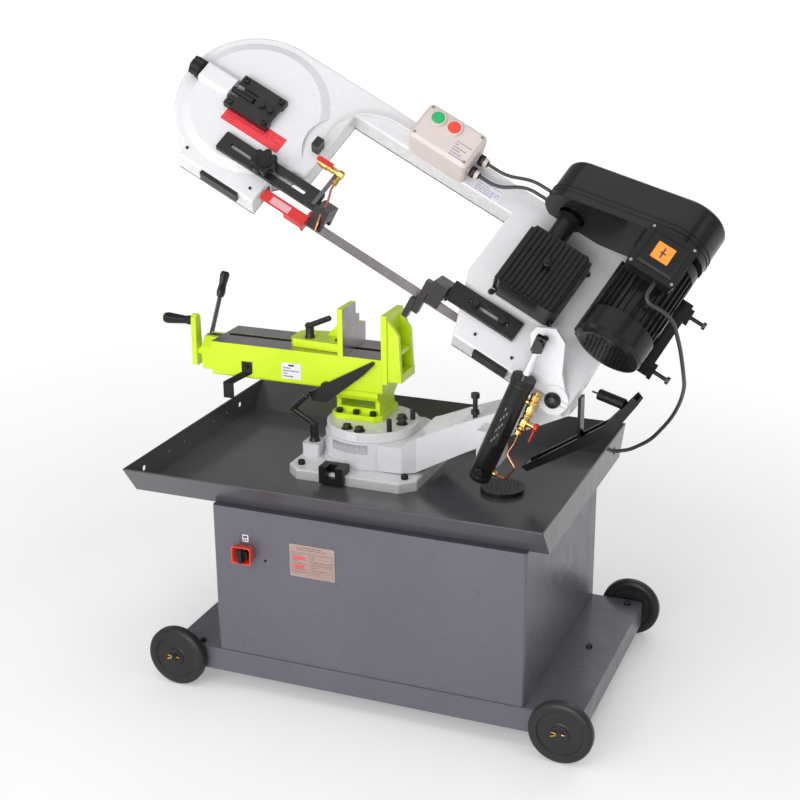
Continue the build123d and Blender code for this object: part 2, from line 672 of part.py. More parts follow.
def band_wheel(u, bore):
    """Flanged, lightened band wheel."""
    r = band_wheel_radius
    profile = [(bore, -11), (24, -11), (24, -4), (r - 16, -4), (r - 10, -11), (r, -11), (r, 11), (r + 3,
        11), (r + 3, 13.5),
               (r - 10, 13.5), (r - 16, 4), (24, 4), (24, 12), (bore, 12)]
    wheel = revolved(profile, (u, wheel_v, 0), "z")
    for i in range(5):
        a = 2 * math.pi * (i + 0.25) / 5
        wheel -= rod((u + 70 * math.cos(a), wheel_v + 70 * math.sin(a), -20), "z", 27, 40)
    return BOW_FRAME * wheel


def saw_blade():
    """Blade loop, twisted upright between the guides."""
    r = band_wheel_radius + blade_gap
    t = blade_thickness
    w = blade_width / 2

    def arc_band(u, start):
        outer = rod((u, wheel_v, -w), "z", r + t, 2 * w) - rod((u, wheel_v, -w), "z", r, 2 * w)
        half = block(u, u + 400, wheel_v - 300, wheel_v + 300, -50, 50)
        if start < 0:
            half = block(u - 400, u, wheel_v - 300, wheel_v + 300, -50, 50)
        return outer & half

    low = wheel_v - r - t
    top = block(idler_u, drive_u, wheel_v + r, wheel_v + r + t, -w, w)

    def section(u, twist):
        frame = Pos(u, low + t / 2, 0) * Rot(twist, 0, 0) * Rot(0, 90, 0)
        return frame * Rectangle(2 * w, t)

    def run(u0, twist0, u1, twist1, steps):
        marks = [i / steps for i in range(steps + 1)]
        return loft([section(u0 + (u1 - u0) * m, twist0 + (twist1 - twist0) * m) for m in marks],
            ruled=True)

    inner = guide_u + 20
    twist = -45
    blade = arc_band(idler_u, -1) + arc_band(drive_u, 1) + top
    blade += run(idler_u, 0, -inner, twist, 3) + run(-inner, twist, inner, twist, 1) + run(inner, twist,
        drive_u, 0, 2)
    return BOW_FRAME * blade


def tension_block():
    """Black guide rails for the idler's slide."""
    rails = block(-440, -336, wheel_v + 20, wheel_v + 38, lobe_face_w, 54)
    rails += block(-440, -336, wheel_v - 38, wheel_v - 20, lobe_face_w, 54)
    rails += block(-440, -336, wheel_v - 38, wheel_v + 38, 50, 54)
    rails -= block(-450, -388, wheel_v - 14, wheel_v + 14, 49, 60)
    for u in (-430, -346):
        for v in (-29, 29):
            rails += bolt_cap(u, wheel_v + v, 54)
    return BOW_FRAME * rails


def bolt_cap(u, v, w):
    """Socket-screw head standing on a face of the bow."""
    return rod((u, v, w), "z", 6, 6) - hex_prism((u, v, w + 3), "z", 6, 5)


def tension_slide():
    """Slide with the idler's axle, pulled by the tension screw."""
    slide = block(-424, -352, wheel_v - 19.6, wheel_v + 19.6, lobe_face_w + 0.3, 49.6)
    slide += rod((idler_u, wheel_v, -14), "z", 10, 60)
    slide -= rod((-440, wheel_v, 48), "x", 6 + running_fit, 60)
    return BOW_FRAME * slide


def tension_knob():
    """Star knob on the blade-tension screw."""
    knob = rod((-540, wheel_v, 48), "x", 6, 146)
    body = rod((-544, wheel_v, 48), "x", 15, 26)
    for i in range(6):
        a = 2 * math.pi * i / 6
        body += rod((-542, wheel_v + 14 * math.cos(a), 48 + 14 * math.sin(a)), "x", 6.5, 22)
    return BOW_FRAME * (knob + body)


def gearbox_housing():
    """Finned worm gearbox, with the worm's long bearing boss."""
    low = face_w + 2
    case = block(226, 352, 72, 212, low, 100)
    case = fillet(case.edges().filter_by(Axis.Z), 10)
    for i in range(12):
        u = 230 + i * 10.3
        case += block(u, u + 4.5, 76, 208, 99, 108)
    for i in range(5):
        w = 44 + i * 11
        case += block(220, 358, 76, 208, w, w + 4)
    case += rod((worm_u, 212, worm_w), "y", 21, 60)
    case += rod((worm_u, 264, worm_w), "y", 27, 8)
    case -= rod((drive_u, wheel_v, 44), "z", 34, 44)
    case -= rod((worm_u, 82, worm_w), "y", 15, 120)
    case -= rod((drive_u, wheel_v, low - 5), "z", 12.5 + running_fit, 70)
    case -= rod((worm_u, 76, worm_w), "y", 9 + running_fit, 300)
    return BOW_FRAME * case


def worm_gear():
    """Worm gear on the output shaft that carries the drive wheel."""
    teeth = []
    for i in range(gear_teeth):
        a = 360 * (i + 0.5) / gear_teeth
        tooth = Pos(gear_radius, 0, 0) * Rot(5, 0, 0) * Box(3.6, 2.2, 16)
        teeth.append(Rot(0, 0, a) * tooth)
    gear = Cylinder(gear_radius - 1.6, 16) + teeth
    shaft = rod((0, 0, -12 - worm_w), "z", 12.5, worm_w + 34)
    gear = Pos(drive_u, wheel_v, worm_w) * (gear + shaft)
    return BOW_FRAME * gear


def worm_shaft():
    """Single-start worm on its shaft."""
    pitch = math.pi * gear_module
    core = worm_radius - 2.6
    shaft = rod((worm_u, 84, worm_w), "y", 9, 262)
    core_bar = rod((worm_u, wheel_v - 32, worm_w), "y", core, 64)
    helix = Helix(pitch=pitch, height=pitch * 7, radius=core)
    profile = Plane(helix @ 0, z_dir=helix % 0) * Rectangle(3.4, 1.9)
    thread = sweep(profile, path=helix, is_frenet=True)
    thread = Pos(worm_u, wheel_v - pitch * 3.5, worm_w) * Rot(-90, 0, 0) * thread
    return BOW_FRAME * ((shaft - rod((worm_u, wheel_v - 32, worm_w), "y", 20, 64)) + core_bar + thread)


def pulley(u, w, radius, bore):
    """V-pulley on a shaft along v."""
    profile = [(bore, -12), (16, -12), (16, -8), (radius + 4, -8), (radius + 4, -6), (radius - 6, -2.5),
        (radius - 6, 2.5),
               (radius + 4, 6), (radius + 4, 8), (bore, 8)]
    return BOW_FRAME * revolved(profile, (u, belt_v, w), "y")


def belt_path(radius_worm, radius_motor):
    """Tangent loop round both pulleys, in the plane of the belt."""
    du = motor_u - worm_u
    dw = motor_w - worm_w
    distance = math.hypot(du, dw)
    lean = math.degrees(math.atan2(dw, du))
    wrap = math.degrees(math.asin((radius_worm - radius_motor) / distance))
    up = math.radians(90 - wrap)
    worm_touch = (radius_worm * math.cos(up), radius_worm * math.sin(up))
    motor_touch = (distance + radius_motor * math.cos(up), radius_motor * math.sin(up))
    shape = Circle(radius_worm) + Pos(distance, 0) * Circle(radius_motor)
    shape += make_face(Polyline(worm_touch, motor_touch, (motor_touch[0], -motor_touch[1]),
                                (worm_touch[0], -worm_touch[1]), close=True))
    return Rot(0, 0, lean) * shape


def belt_solid(outer, inner, low, high):
    """Loop between two offsets, laid in the u-w plane and extruded along v."""
    loop = extrude(outer - inner, amount=high - low) if inner else extrude(outer, amount=high - low)
    return Pos(worm_u, high, worm_w) * Rot(90, 0, 0) * loop


def v_belt():
    """V-belt from the motor to the worm."""
    gap = 0.4
    outer = belt_path(worm_pulley_radius + 2, motor_pulley_radius + 2)
    inner = belt_path(worm_pulley_radius - 6 + gap, motor_pulley_radius - 6 + gap)
    return BOW_FRAME * belt_solid(outer, inner, belt_v - 2, belt_v + 2)


def belt_cover():
    """Deep moulded cover over the pulleys, with two beads round it."""
    cover = belt_solid(belt_path(62, 66), None, 280, 376)
    cover = fillet(cover.edges().group_by(Axis.Y)[-1], 14)
    for low in (296, 306):
        cover += belt_solid(belt_path(63.5, 67.5), None, low, low + 3)
    hollow = belt_solid(belt_path(59, 63), None, 283, 373)
    cover -= fillet(hollow.edges().group_by(Axis.Y)[-1], 12)
    cover -= block(0, 480, 270, 298.4, -20, 30.5)
    cover -= rod((worm_u, 260, worm_w), "y", 28, 30)
    cover -= rod((motor_u, 250, motor_w), "y", 30, 40)
    return BOW_FRAME * cover


def motor_housing():
    """Ribbed motor frame with its end shields and feet."""
    frame = rod((motor_u, 96, motor_w), "y", motor_radius - 5, 150)
    for i in range(28):
        a = 360 * i / 28
        frame += Pos(motor_u, 171, motor_w) * Rot(0, a, 0) * Pos(motor_radius - 4, 0, 0) * Box(8, 146, 3)
    frame += rod((motor_u, 246, motor_w), "y", motor_radius, 20)
    frame += block(motor_u - 50, motor_u + 50, 120, 150, 75, 96)
    frame += block(motor_u - 50, motor_u + 50, 195, 225, 75, 96)
    frame -= rod((motor_u, 106, motor_w), "y", 46, 148)
    frame -= rod((motor_u, 80, motor_w), "y", 10 + running_fit, 200)
    frame += tube((motor_u, 140, motor_w), "y", 46, 32, 70)
    return BOW_FRAME * frame


def terminal_box():
    """Terminal box on the side of the motor with a stepped lid."""
    low = motor_w + motor_radius + 0.2
    box = block(424, 518, 176, 266, low, low + 24)
    box = fillet(box.edges().filter_by(Axis.Z), 5)
    lid = block(421, 521, 173, 269, low + 24, low + 34)
    lid = fillet(lid.edges().filter_by(Axis.Z), 6)
    top = block(434, 508, 186, 256, low + 34, low + 40)
    return BOW_FRAME * (box + lid + chamfer(top.edges().group_by(Axis.Z)[-1], 4))


def fan_cover():
    """Pressed cowl over the fan, with a perforated end."""
    r = motor_radius + 4
    profile = [(0, 0), (r - 12, 0), (r - 3, 4), (r, 12), (r, 56), (r - 2, 56), (r - 2, 13), (r - 5, 6),
        (r - 13, 2), (0, 2)]
    cowl = revolved(profile, (motor_u, 44, motor_w), "y")
    holes = []
    for i in range(-6, 7):
        for j in range(-5, 6):
            du = i * 8
            dw = j * 8.5
            if math.hypot(du, dw) < r - 20:
                holes.append(block(motor_u + du - 2.6, motor_u + du + 2.6, 40, 50, motor_w + dw - 3,
                    motor_w + dw + 3))
    return BOW_FRAME * (cowl - holes)


def motor_rotor():
    """Rotor, shaft and cooling fan."""
    rotor = rod((motor_u, 66, motor_w), "y", 10, 260)
    rotor += rod((motor_u, 142, motor_w), "y", 31.2, 66)
    rotor += rod((motor_u, 70, motor_w), "y", 16, 16)
    for i in range(7):
        rotor += Pos(motor_u, 78, motor_w) * Rot(0, 360 * i / 7, 0) * Pos(32, 0, 0) * Box(36, 14, 2)
    return BOW_FRAME * rotor


def motor_plate():
    """Sliding motor plate on two pillars, with belt-tension screws."""
    plate = block(400, 562, 84, 256, 63, 74.9)
    for v in (92, 228):
        plate += block(402, 464, v, v + 20, face_w, 63)
        plate += block(562, 570, v - 6, v + 20, 52, 74)
        plate += rod((570, v + 7, 66), "x", 4, 26) + hex_prism((596, v + 7, 66), "x", 13, 7)
    return BOW_FRAME * plate


def guide_bar_slab(u0, u1):
    """Slotted bar that lies on the bow's face."""
    bar = block(u0, u1, 8, 50, lobe_face_w + 0.4, lobe_face_w + 10.4)
    bar -= block(u0 + 22, u1 - 34, 24, 34, 0, 100)
    return bar


def left_guide_bar():
    """Adjustable guide bar."""
    return BOW_FRAME * fillet(guide_bar_slab(-395, -156).edges().filter_by(Axis.Z), 3)


def guide_head(u, reach):
    """Guide block with side bearings and a back bearing, square to the blade."""
    head = block(u - 16, u + 16, -28, 18, 24, 52)
    for side in (-1, 1):
        y = side * (blade_thickness / 2 + 0.35 + 8)
        head += rod((u, y, 1.5), "z", 8, 9)
        head += rod((u, y, 10.5), "z", 3.5, 14)
    head += block(u - 14, u + 14, -28, -18, 4, 26)
    head += rod((u, -5, 10.4 + 9), "y", 9, 10)
    head += rod((u, -20, 10.4 + 9), "y", 3, 34)
    head += block(u + 9, u + 16, 10, 18, 12, 26)
    if reach:
        head += block(u - 30, u - 16, -28, -12, -28, 44)
        head += block(u - 42, u - 30, -30, -14, -46, -4)
    return BLADE_FRAME * head


def left_guide_head():
    """Left blade guide, on the end of the adjustable bar."""
    return guide_head(-guide_u, False)


def right_guide():
    """Fixed right blade guide with its slotted bar."""
    bar = BOW_FRAME * (block(156, 312, 8, 50, face_w, face_w + 10) - block(200, 290, 24, 34, 0, 100))
    return bar + guide_head(guide_u, True)


def blade_guard():
    """Red guard over the blade between the bow and the left guide."""
    guard = block(-262, -162, -27, -3, 31, 34)
    guard += block(-204, -162, -27, -24, 14, 34)
    guard += block(-162, -157, -30, 7.5, 12, 37)
    return BOW_FRAME * guard


def guide_knob():
    """Lobed clamp knob of the guide bar with its stud."""
    w = lobe_face_w + 10.8
    knob = rod((-289, 29, 31), "z", 4.5, w - 31) + rod((-289, 29, w), "z", 12, 9)
    knob += rod((-289, 29, w + 9), "z", 21, 15)
    for i in range(7):
        a = 2 * math.pi * i / 7
        knob += rod((-289 + 19 * math.cos(a), 29 + 19 * math.sin(a), w + 9), "z", 8, 15)
    return BOW_FRAME * knob


def coolant_valve():
    """Brass coolant tap on a post above the left guide."""
    post = block(-166, -158, 16, 106, lobe_face_w + 10.5, 53)
    valve = rod((-202, 97, 58), "x", 7, 52) + hex_prism((-189, 97, 58), "x", 17, 22)
    valve += hex_prism((-158, 97, 58), "x", 15, 10)
    return BOW_FRAME * (post + valve)


def coolant_lever():
    """Red lever of the coolant tap."""
    lever = rod((-178, 97, 68.3), "z", 3.5, 5) + block(-208, -172, 92, 102, 71, 74)
    return BOW_FRAME * lever


def control_box():
    """Moulded switch box with a stepped lid."""
    box = block(-86, 46, 234, 316, face_w, 74)
    box = fillet(box.edges().filter_by(Axis.Z), 9)
    lid = block(-88, 48, 232, 318, 74, 101)
    lid = fillet(lid.edges().filter_by(Axis.Z), 12)
    lid = chamfer(lid.edges().group_by(Axis.Z)[-1], 7)
    for u in button_u:
        lid += tube((u, 292, 101), "z", 17, 13, 5)
        lid -= rod((u, 292, 86), "z", 13, 24)
    for v in (258, 290):
        box += rod((46, v, 52), "x", 9, 22)
    box += rod((-96, 262, 52), "x", 9, 12)
    return BOW_FRAME * (box + lid)


def push_button(u):
    """Round push button."""
    cap = rod((u, 292, 92), "z", 12.6, 16)
    return BOW_FRAME * fillet(cap.edges().group_by(Axis.Z)[-1], 2)


def chip_wipers():
    """Black scraper plates on the lower edge of both lobes."""
    wipers = block(-392, -304, -50, -42.2, 4, 30)
    wipers += block(262, 338, -53, -45.2, 4, 30)
    return BOW_FRAME * wipers


def isolator_knob():
    """Red rotary mains isolator on the cabinet front."""
    y = cabinet_y[0]
    knob = rod((-182, y - 20, 316), "y", 12.4, 26)
    return knob + block(-186, -178, y - 30, y - 20, 302, 330)


def start_button():
    """Green start button."""
    return push_button(button_u[0])


def stop_button():
    """Red stop button."""
    return push_button(button_u[1])


def idler_wheel():
    """Idler band wheel on the tension slide's axle."""
    return band_wheel(idler_u, 10 + running_fit)


def drive_wheel():
    """Driven band wheel with the worm gear and its shaft."""
    return Compound([band_wheel(drive_u, 12.5), worm_gear()])


def worm():
    """Worm shaft with its pulley."""
    return Compound([worm_shaft(), pulley(worm_u, worm_w, worm_pulley_radius, 9)])


def rotor():
    """Motor rotor and fan with the motor pulley."""
    return Compound([motor_rotor(), pulley(motor_u, motor_w, motor_pulley_radius, 10)])


def vise_jaw():
    """Movable jaw with its nut."""
    return Compound([movable_jaw(), jaw_nut()])


def vise_screw():
    """Lead screw with its crank arm."""
    return Compound([lead_screw(), crank_arm()])


def coolant_unit():
    """Coolant tank with its pump."""
    return Compound([coolant_tank(), coolant_pump()])


def vise_fasteners():
    """Vise screws and the swivel's stop block."""
    return Compound([*vise_screws().solids(), swivel_stop_block()])


def damper_plumbing():
    """Brass valve and copper pipe of the damper."""
    return Compound([damper_valve(), damper_pipe()])


def motor_covers():
    """Terminal box and fan cowl of the motor."""
    return Compound([terminal_box(), fan_cover()])


def bow_small_parts():
    """Tension rails, chip scrapers and the damper's head pin."""
    wipers = chip_wipers().solids()
    gland = BOW_FRAME * block(-240, -224, 119, 141, face_w, 60)
    return Compound([tension_block(), *wipers, gland, damper_head_pin()])


def cord(points, diameter):
    """Round cord of straight runs joined by tangent arcs; prints its bend radii."""
    points = [Vector(*p) for p in points]
    radii = []
    for before, corner, after in zip(points, points[1:], points[2:]):
        first, second = corner - before, after - corner
        half_turn = math.radians(first.get_angle(second)) / 2
        radii.append(min(400, 0.45 * min(first.length, second.length) / math.tan(half_turn)))
    print("bend radii", diameter, [round(r) for r in radii])
    path = FilletPolyline(*points, radius=radii)
    return sweep(Plane(path @ 0, z_dir=path % 0) * Circle(diameter / 2), path=path)


def control_cables():
    """Two cables from the control box's right-hand glands to the belt cover's wall."""
    upper = [(68, 290, 52), (112, 290, 52), (166, 302.5, 72), (worm_u - 62, 302.5, 72)]
    lower = [(68, 258, 52), (112, 258, 52), (160, 288, 62), (worm_u - 61.7, 288, 62)]
    return BOW_FRAME * Compound([cord(upper, 7), cord(lower, 7)])


def sensor_cable():
    """Cable from the control box's left-hand gland down to a gland on the left lobe."""
    points = [(-96, 262, 52), (-148, 262, 52), (-204, 238, 52), (-232, 194, 52), (-232, 141, 52)]
    return BOW_FRAME * cord(points, 6)


def supply_cable():
    """Free cable from the tray's grommet up to the motor's terminal box."""
    start = BOW_FRAME * Pos(486, 176, 230)
    leave = BOW_FRAME * Pos(486, 134, 230)
    points = [
        start.position, leave.position, (600, -70, 822), (608, -20, 748), (606, 32, 688), (600, 86, 640),
        (584, 140, 590), (558, 186, 534), (512, 212, 472), (468, 214, 444), (439, 211, 438),
    ]
    return cord([tuple(p) for p in points], 8)



for side, x in (("left", axle_x[0]), ("right", axle_x[1])):
    save(stand_wheel(x, True), f"stand_wheel_front_{side}")
    save(stand_wheel(x, False), f"stand_wheel_rear_{side}")

SUB_PARTS = [
    base_pan, wheel_axles, cabinet, chip_tray, drain_strainer, coolant_unit, isolator_knob,
    saw_base, turntable_disc, vise_bed, vise_fasteners, fixed_jaw,
    vise_jaw, jaw_clamp_lever, vise_screw, crank_handle,
    quick_lever, vise_lever, swivel_lock_lever,
    swivel_arm, hinge_pins, spring_bracket, counter_spring,
    damper_cylinder, damper_plumbing, damper_valve_handle, damper_rod,
    bow_casting, rear_cover, saw_blade, bow_small_parts, tension_slide, tension_knob, idler_wheel,
    gearbox_housing, drive_wheel, worm, v_belt, belt_cover,
    motor_housing, motor_covers, rotor, motor_plate,
    left_guide_bar, left_guide_head, right_guide, blade_guard, guide_knob,
    coolant_valve, coolant_lever, control_box, start_button, stop_button,
    control_cables, sensor_cable, supply_cable,
]
for maker in SUB_PARTS:
    save(maker(), maker.__name__)
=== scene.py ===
"""Looks, small details, cords, camera and light of the horizontal band saw, round its frame."""
import math

import bmesh
import bpy
from mathutils import Matrix, Vector


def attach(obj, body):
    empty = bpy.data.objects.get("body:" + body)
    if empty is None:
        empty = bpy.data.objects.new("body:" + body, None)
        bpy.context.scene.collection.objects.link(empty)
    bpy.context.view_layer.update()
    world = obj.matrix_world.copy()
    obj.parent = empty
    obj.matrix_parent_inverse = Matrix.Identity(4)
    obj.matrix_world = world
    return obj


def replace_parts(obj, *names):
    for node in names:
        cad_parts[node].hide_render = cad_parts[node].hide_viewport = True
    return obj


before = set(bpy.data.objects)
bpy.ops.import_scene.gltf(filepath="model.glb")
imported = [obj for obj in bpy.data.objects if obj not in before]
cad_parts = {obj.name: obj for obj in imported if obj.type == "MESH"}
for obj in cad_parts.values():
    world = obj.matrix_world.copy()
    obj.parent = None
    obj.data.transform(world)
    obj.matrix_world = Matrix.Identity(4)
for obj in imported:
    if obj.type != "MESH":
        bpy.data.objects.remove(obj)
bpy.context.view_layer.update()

# ---------------------------------------------------------------- frames
#
# Each frame turns millimetres drawn in it into metres of the world. WORLD is the drawing's own
# frame. BLADE runs along the blade's straight stretch, BOW lies in the bow's face, turned 45
# degrees about the blade, and DAMPER stands along the damper's cylinder.

MM = 0.001
CENTRE = Vector((-0.0502, 0.00305, 0))


def shift(x, y, z):
    return Matrix.Translation((x, y, z))


def turn(degrees, axis):
    return Matrix.Rotation(math.radians(degrees), 4, axis)


WORLD = Matrix.Translation(CENTRE) @ Matrix.Scale(MM, 4)
BLADE = WORLD @ shift(382, -30, 638) @ turn(28, "Y") @ shift(-440, 0, 14.7)
BOW = BLADE @ turn(45, "X")
DAMPER_ANGLE = math.degrees(math.atan2(263, 108))
DAMPER = WORLD @ shift(256, -110, 495) @ turn(90 - DAMPER_ANGLE, "Y")

# ---------------------------------------------------------------- materials

DUST_COLOUR = (0.42, 0.4, 0.38)
# colour of the painted shade inside the vise bed's deep slot
SLOT_SHADE_COLOUR = (0.035, 0.032, 0.03)


def node(tree, kind, **values):
    made = tree.nodes.new(kind)
    for key, value in values.items():
        setattr(made, key, value)
    return made


def noise(tree, where, scale, detail=4.0, distortion=0.0):
    made = node(tree, "ShaderNodeTexNoise")
    made.inputs["Scale"].default_value = scale
    made.inputs["Detail"].default_value = detail
    made.inputs["Distortion"].default_value = distortion
    tree.links.new(where, made.inputs["Vector"])
    return made.outputs["Fac"]


def spread(tree, value, low, high, from_low=0.3, from_high=0.7):
    made = node(tree, "ShaderNodeMapRange")
    made.inputs["From Min"].default_value = from_low
    made.inputs["From Max"].default_value = from_high
    made.inputs["To Min"].default_value = low
    made.inputs["To Max"].default_value = high
    tree.links.new(value, made.inputs["Value"])
    return made.outputs["Result"]


def mixed(tree, factor, first, second):
    made = node(tree, "ShaderNodeMix", data_type="RGBA")
    tree.links.new(factor, made.inputs["Factor"])
    for slot, value in ((6, first), (7, second)):
        if isinstance(value, tuple):
            made.inputs[slot].default_value = (*value, 1)
        else:
            tree.links.new(value, made.inputs[slot])
    return made.outputs[2]


def math_node(tree, operation, a, b):
    made = node(tree, "ShaderNodeMath", operation=operation, use_clamp=True)
    for slot, value in ((0, a), (1, b)):
        if isinstance(value, (int, float)):
            made.inputs[slot].default_value = value
        else:
            tree.links.new(value, made.inputs[slot])
    return made.outputs[0]


def object_xyz(tree):
    """The three coordinates of a point in the object's own space, in metres."""
    split = node(tree, "ShaderNodeSeparateXYZ")
    tree.links.new(node(tree, "ShaderNodeTexCoord").outputs["Object"], split.inputs[0])
    return split.outputs


def within(tree, coordinate, low, high):
    """1 where a coordinate lies between two values, 0 elsewhere."""
    above = math_node(tree, "GREATER_THAN", coordinate, low)
    below = math_node(tree, "LESS_THAN", coordinate, high)
    return math_node(tree, "MULTIPLY", above, below)


def edge_mask(tree, normal):
    """1 on sharp edges, 0 on flats, from how far the rounded normal leaves the true one."""
    geometry = node(tree, "ShaderNodeNewGeometry")
    dot = node(tree, "ShaderNodeVectorMath", operation="DOT_PRODUCT")
    tree.links.new(normal, dot.inputs[0])
    tree.links.new(geometry.outputs["Normal"], dot.inputs[1])
    return spread(tree, dot.outputs["Value"], 1.0, 0.0, 0.9, 0.995)


def material(name, colour, rough, metallic=0.0, tint=None, spots=6.0, grain=300.0, bump=0.06,
             bevel=1.2, wear=None, wear_amount=0.6, coat=0.0, dust=0.0, brushed=None, specular=0.5):
    """A clouded colour with fine grain and rounded edges (bevel in mm), worn on edges, dusty on top."""
    made = bpy.data.materials.new(name)
    made.use_nodes = True
    tree = made.node_tree
    shader = tree.nodes["Principled BSDF"]
    place = node(tree, "ShaderNodeTexCoord").outputs["Object"]
    where = place
    if brushed:
        stretch = node(tree, "ShaderNodeMapping")
        stretch.inputs["Scale"].default_value = brushed
        tree.links.new(place, stretch.inputs["Vector"])
        where = stretch.outputs["Vector"]
    tint = tint or tuple(c * 0.82 for c in colour)
    cloud = noise(tree, place, spots, 6.0, 0.6)
    base = mixed(tree, spread(tree, cloud, 0.0, 1.0), colour, tint)
    fine = noise(tree, where, grain, 3.0)
    round_edges = node(tree, "ShaderNodeBevel", samples=4)
    round_edges.inputs["Radius"].default_value = bevel * MM
    if wear:
        mask = edge_mask(tree, round_edges.outputs["Normal"])
        broken = spread(tree, noise(tree, place, 55.0, 6.0, 1.0), 0.0, wear_amount, 0.5, 0.62)
        base = mixed(tree, math_node(tree, "MULTIPLY", mask, broken), base, wear)
    if dust:
        geometry = node(tree, "ShaderNodeNewGeometry")
        split = node(tree, "ShaderNodeSeparateXYZ")
        tree.links.new(geometry.outputs["Normal"], split.inputs[0])
        up = spread(tree, split.outputs["Z"], 0.0, dust, 0.6, 1.0)
        patches = spread(tree, noise(tree, place, 18.0, 8.0), 0.2, 1.0)
        base = mixed(tree, math_node(tree, "MULTIPLY", up, patches), base, DUST_COLOUR)
    tree.links.new(base, shader.inputs["Base Color"])
    smears = noise(tree, where, spots * 5, 6.0, 0.4)
    rough_now = spread(tree, smears, rough * 0.82, min(1.0, rough * 1.22))
    tree.links.new(rough_now, shader.inputs["Roughness"])
    shader.inputs["Metallic"].default_value = metallic
    shader.inputs["Specular IOR Level"].default_value = specular
    shader.inputs["Coat Weight"].default_value = coat
    shader.inputs["Coat Roughness"].default_value = 0.12
    bumps = node(tree, "ShaderNodeBump")
    bumps.inputs["Strength"].default_value = bump
    bumps.inputs["Distance"].default_value = 0.0006
    tree.links.new(fine, bumps.inputs["Height"])
    tree.links.new(round_edges.outputs["Normal"], bumps.inputs["Normal"])
    tree.links.new(bumps.outputs["Normal"], shader.inputs["Normal"])
    return made


def two_part(name, first, second, axis, low, high, span=None):
    """A copy of a material, with bare metal where the face looks along an axis and lies in a span."""
    made = first.copy()
    made.name = name
    tree = made.node_tree
    shader = tree.nodes["Principled BSDF"]
    geometry = node(tree, "ShaderNodeNewGeometry")
    facing = node(tree, "ShaderNodeSeparateXYZ")
    tree.links.new(geometry.outputs["Normal"], facing.inputs[0])
    towards = spread(tree, facing.outputs[axis], 0.0, 1.0, low, high)
    if span:
        inside = within(tree, object_xyz(tree)[axis], *span)
        towards = math_node(tree, "MULTIPLY", towards, inside)
    old = shader.inputs["Base Color"].links[0].from_socket
    streaks = node(tree, "ShaderNodeMapping")
    streaks.inputs["Scale"].default_value = (6, 220, 60)
    tree.links.new(node(tree, "ShaderNodeTexCoord").outputs["Object"], streaks.inputs["Vector"])
    lines = noise(tree, streaks.outputs["Vector"], 6.0, 5.0)
    bare = mixed(tree, spread(tree, lines, 0.0, 1.0), second, tuple(c * 0.6 for c in second))
    tree.links.new(mixed(tree, towards, old, bare), shader.inputs["Base Color"])
    tree.links.new(towards, shader.inputs["Metallic"])
    return made


def banded(name, first, colour, low):
    """A copy of a material, with a dark non-metal part above a height in metres."""
    made = first.copy()
    made.name = name
    tree = made.node_tree
    shader = tree.nodes["Principled BSDF"]
    above = math_node(tree, "GREATER_THAN", object_xyz(tree)["Z"], low)
    old = shader.inputs["Base Color"].links[0].from_socket
    tree.links.new(mixed(tree, above, old, colour), shader.inputs["Base Color"])
    tree.links.new(math_node(tree, "SUBTRACT", 1.0, above), shader.inputs["Metallic"])
    return made


def paint_slot_shade(look, y_span, z_span):
    """Paints shade into the colour of what lies inside a span of y and a span of z, in metres: the painted shade
    of a deep slot.
    """
    tree = look.node_tree
    shader = tree.nodes["Principled BSDF"]
    at = object_xyz(tree)
    inside = math_node(tree, "MULTIPLY", within(tree, at["Y"], *y_span), within(tree, at["Z"], *z_span))
    old = shader.inputs["Base Color"].links[0].from_socket
    tree.links.new(mixed(tree, inside, old, SLOT_SHADE_COLOUR), shader.inputs["Base Color"])


WHITE = material("white_enamel", (0.72, 0.71, 0.73), 0.26, tint=(0.7, 0.69, 0.71), bump=0.1, grain=90,
                 bevel=0.9, coat=0.25, dust=0.015)
STAND = material("stand_grey", (0.108, 0.103, 0.126), 0.3, tint=(0.096, 0.092, 0.112), spots=4,
                 bump=0.16, grain=700, bevel=2.0, dust=0.03, specular=0.45)
TRAY = material("tray_grey", (0.072, 0.069, 0.076), 0.2, tint=(0.064, 0.061, 0.067), spots=5, bump=0.1,
                grain=500, coat=0.15, dust=0.03, specular=0.4)
LIME = material("lime_enamel", (0.63, 0.84, 0.014), 0.3, tint=(0.57, 0.77, 0.012), bump=0.2, grain=160,
                bevel=1.5, wear=(0.4, 0.48, 0.05), wear_amount=0.25, coat=0.1, specular=0.35)
BLACK_PAINT = material("black_paint", (0.009, 0.0085, 0.009), 0.26, tint=(0.014, 0.013, 0.013), bump=0.15,
                       grain=260, wear=(0.08, 0.08, 0.08), wear_amount=0.25, coat=0.2, specular=0.15)
BLACK_STEEL = material("black_steel", (0.02, 0.019, 0.019), 0.34, metallic=0.6, tint=(0.036, 0.034, 0.033),
                       bump=0.12, bevel=0.8, wear=(0.3, 0.29, 0.28), wear_amount=0.5)
BLACK_PLASTIC = material("black_plastic", (0.01, 0.0095, 0.0095), 0.25, tint=(0.014, 0.013, 0.013),
                         bump=0.12, grain=420, coat=0.2, specular=0.15)
BELT_COVER = material("belt_cover_plastic", (0.012, 0.0105, 0.0115), 0.24, tint=(0.017, 0.0155, 0.0165),
                      bump=0.22, grain=260, bevel=2.0, coat=0.3, dust=0.006, specular=0.15)
BOX_GREY = material("box_grey", (0.66, 0.575, 0.545), 0.38, tint=(0.62, 0.54, 0.51), bump=0.14,
                    grain=500, bevel=2.0)
STEEL = material("ground_steel", (0.52, 0.49, 0.48), 0.3, metallic=1.0, tint=(0.4, 0.38, 0.37), bump=0.1,
                 grain=90, bevel=0.8, brushed=(1, 6, 6))
BLADE_STEEL = material("blade_steel", (0.2, 0.18, 0.18), 0.35, metallic=0.9, tint=(0.12, 0.11, 0.11),
                       bump=0.08, grain=200, bevel=0.2)
CHROME = material("chrome", (0.8, 0.8, 0.82), 0.09, metallic=1.0, tint=(0.72, 0.72, 0.74), bump=0.02, bevel=0.5)
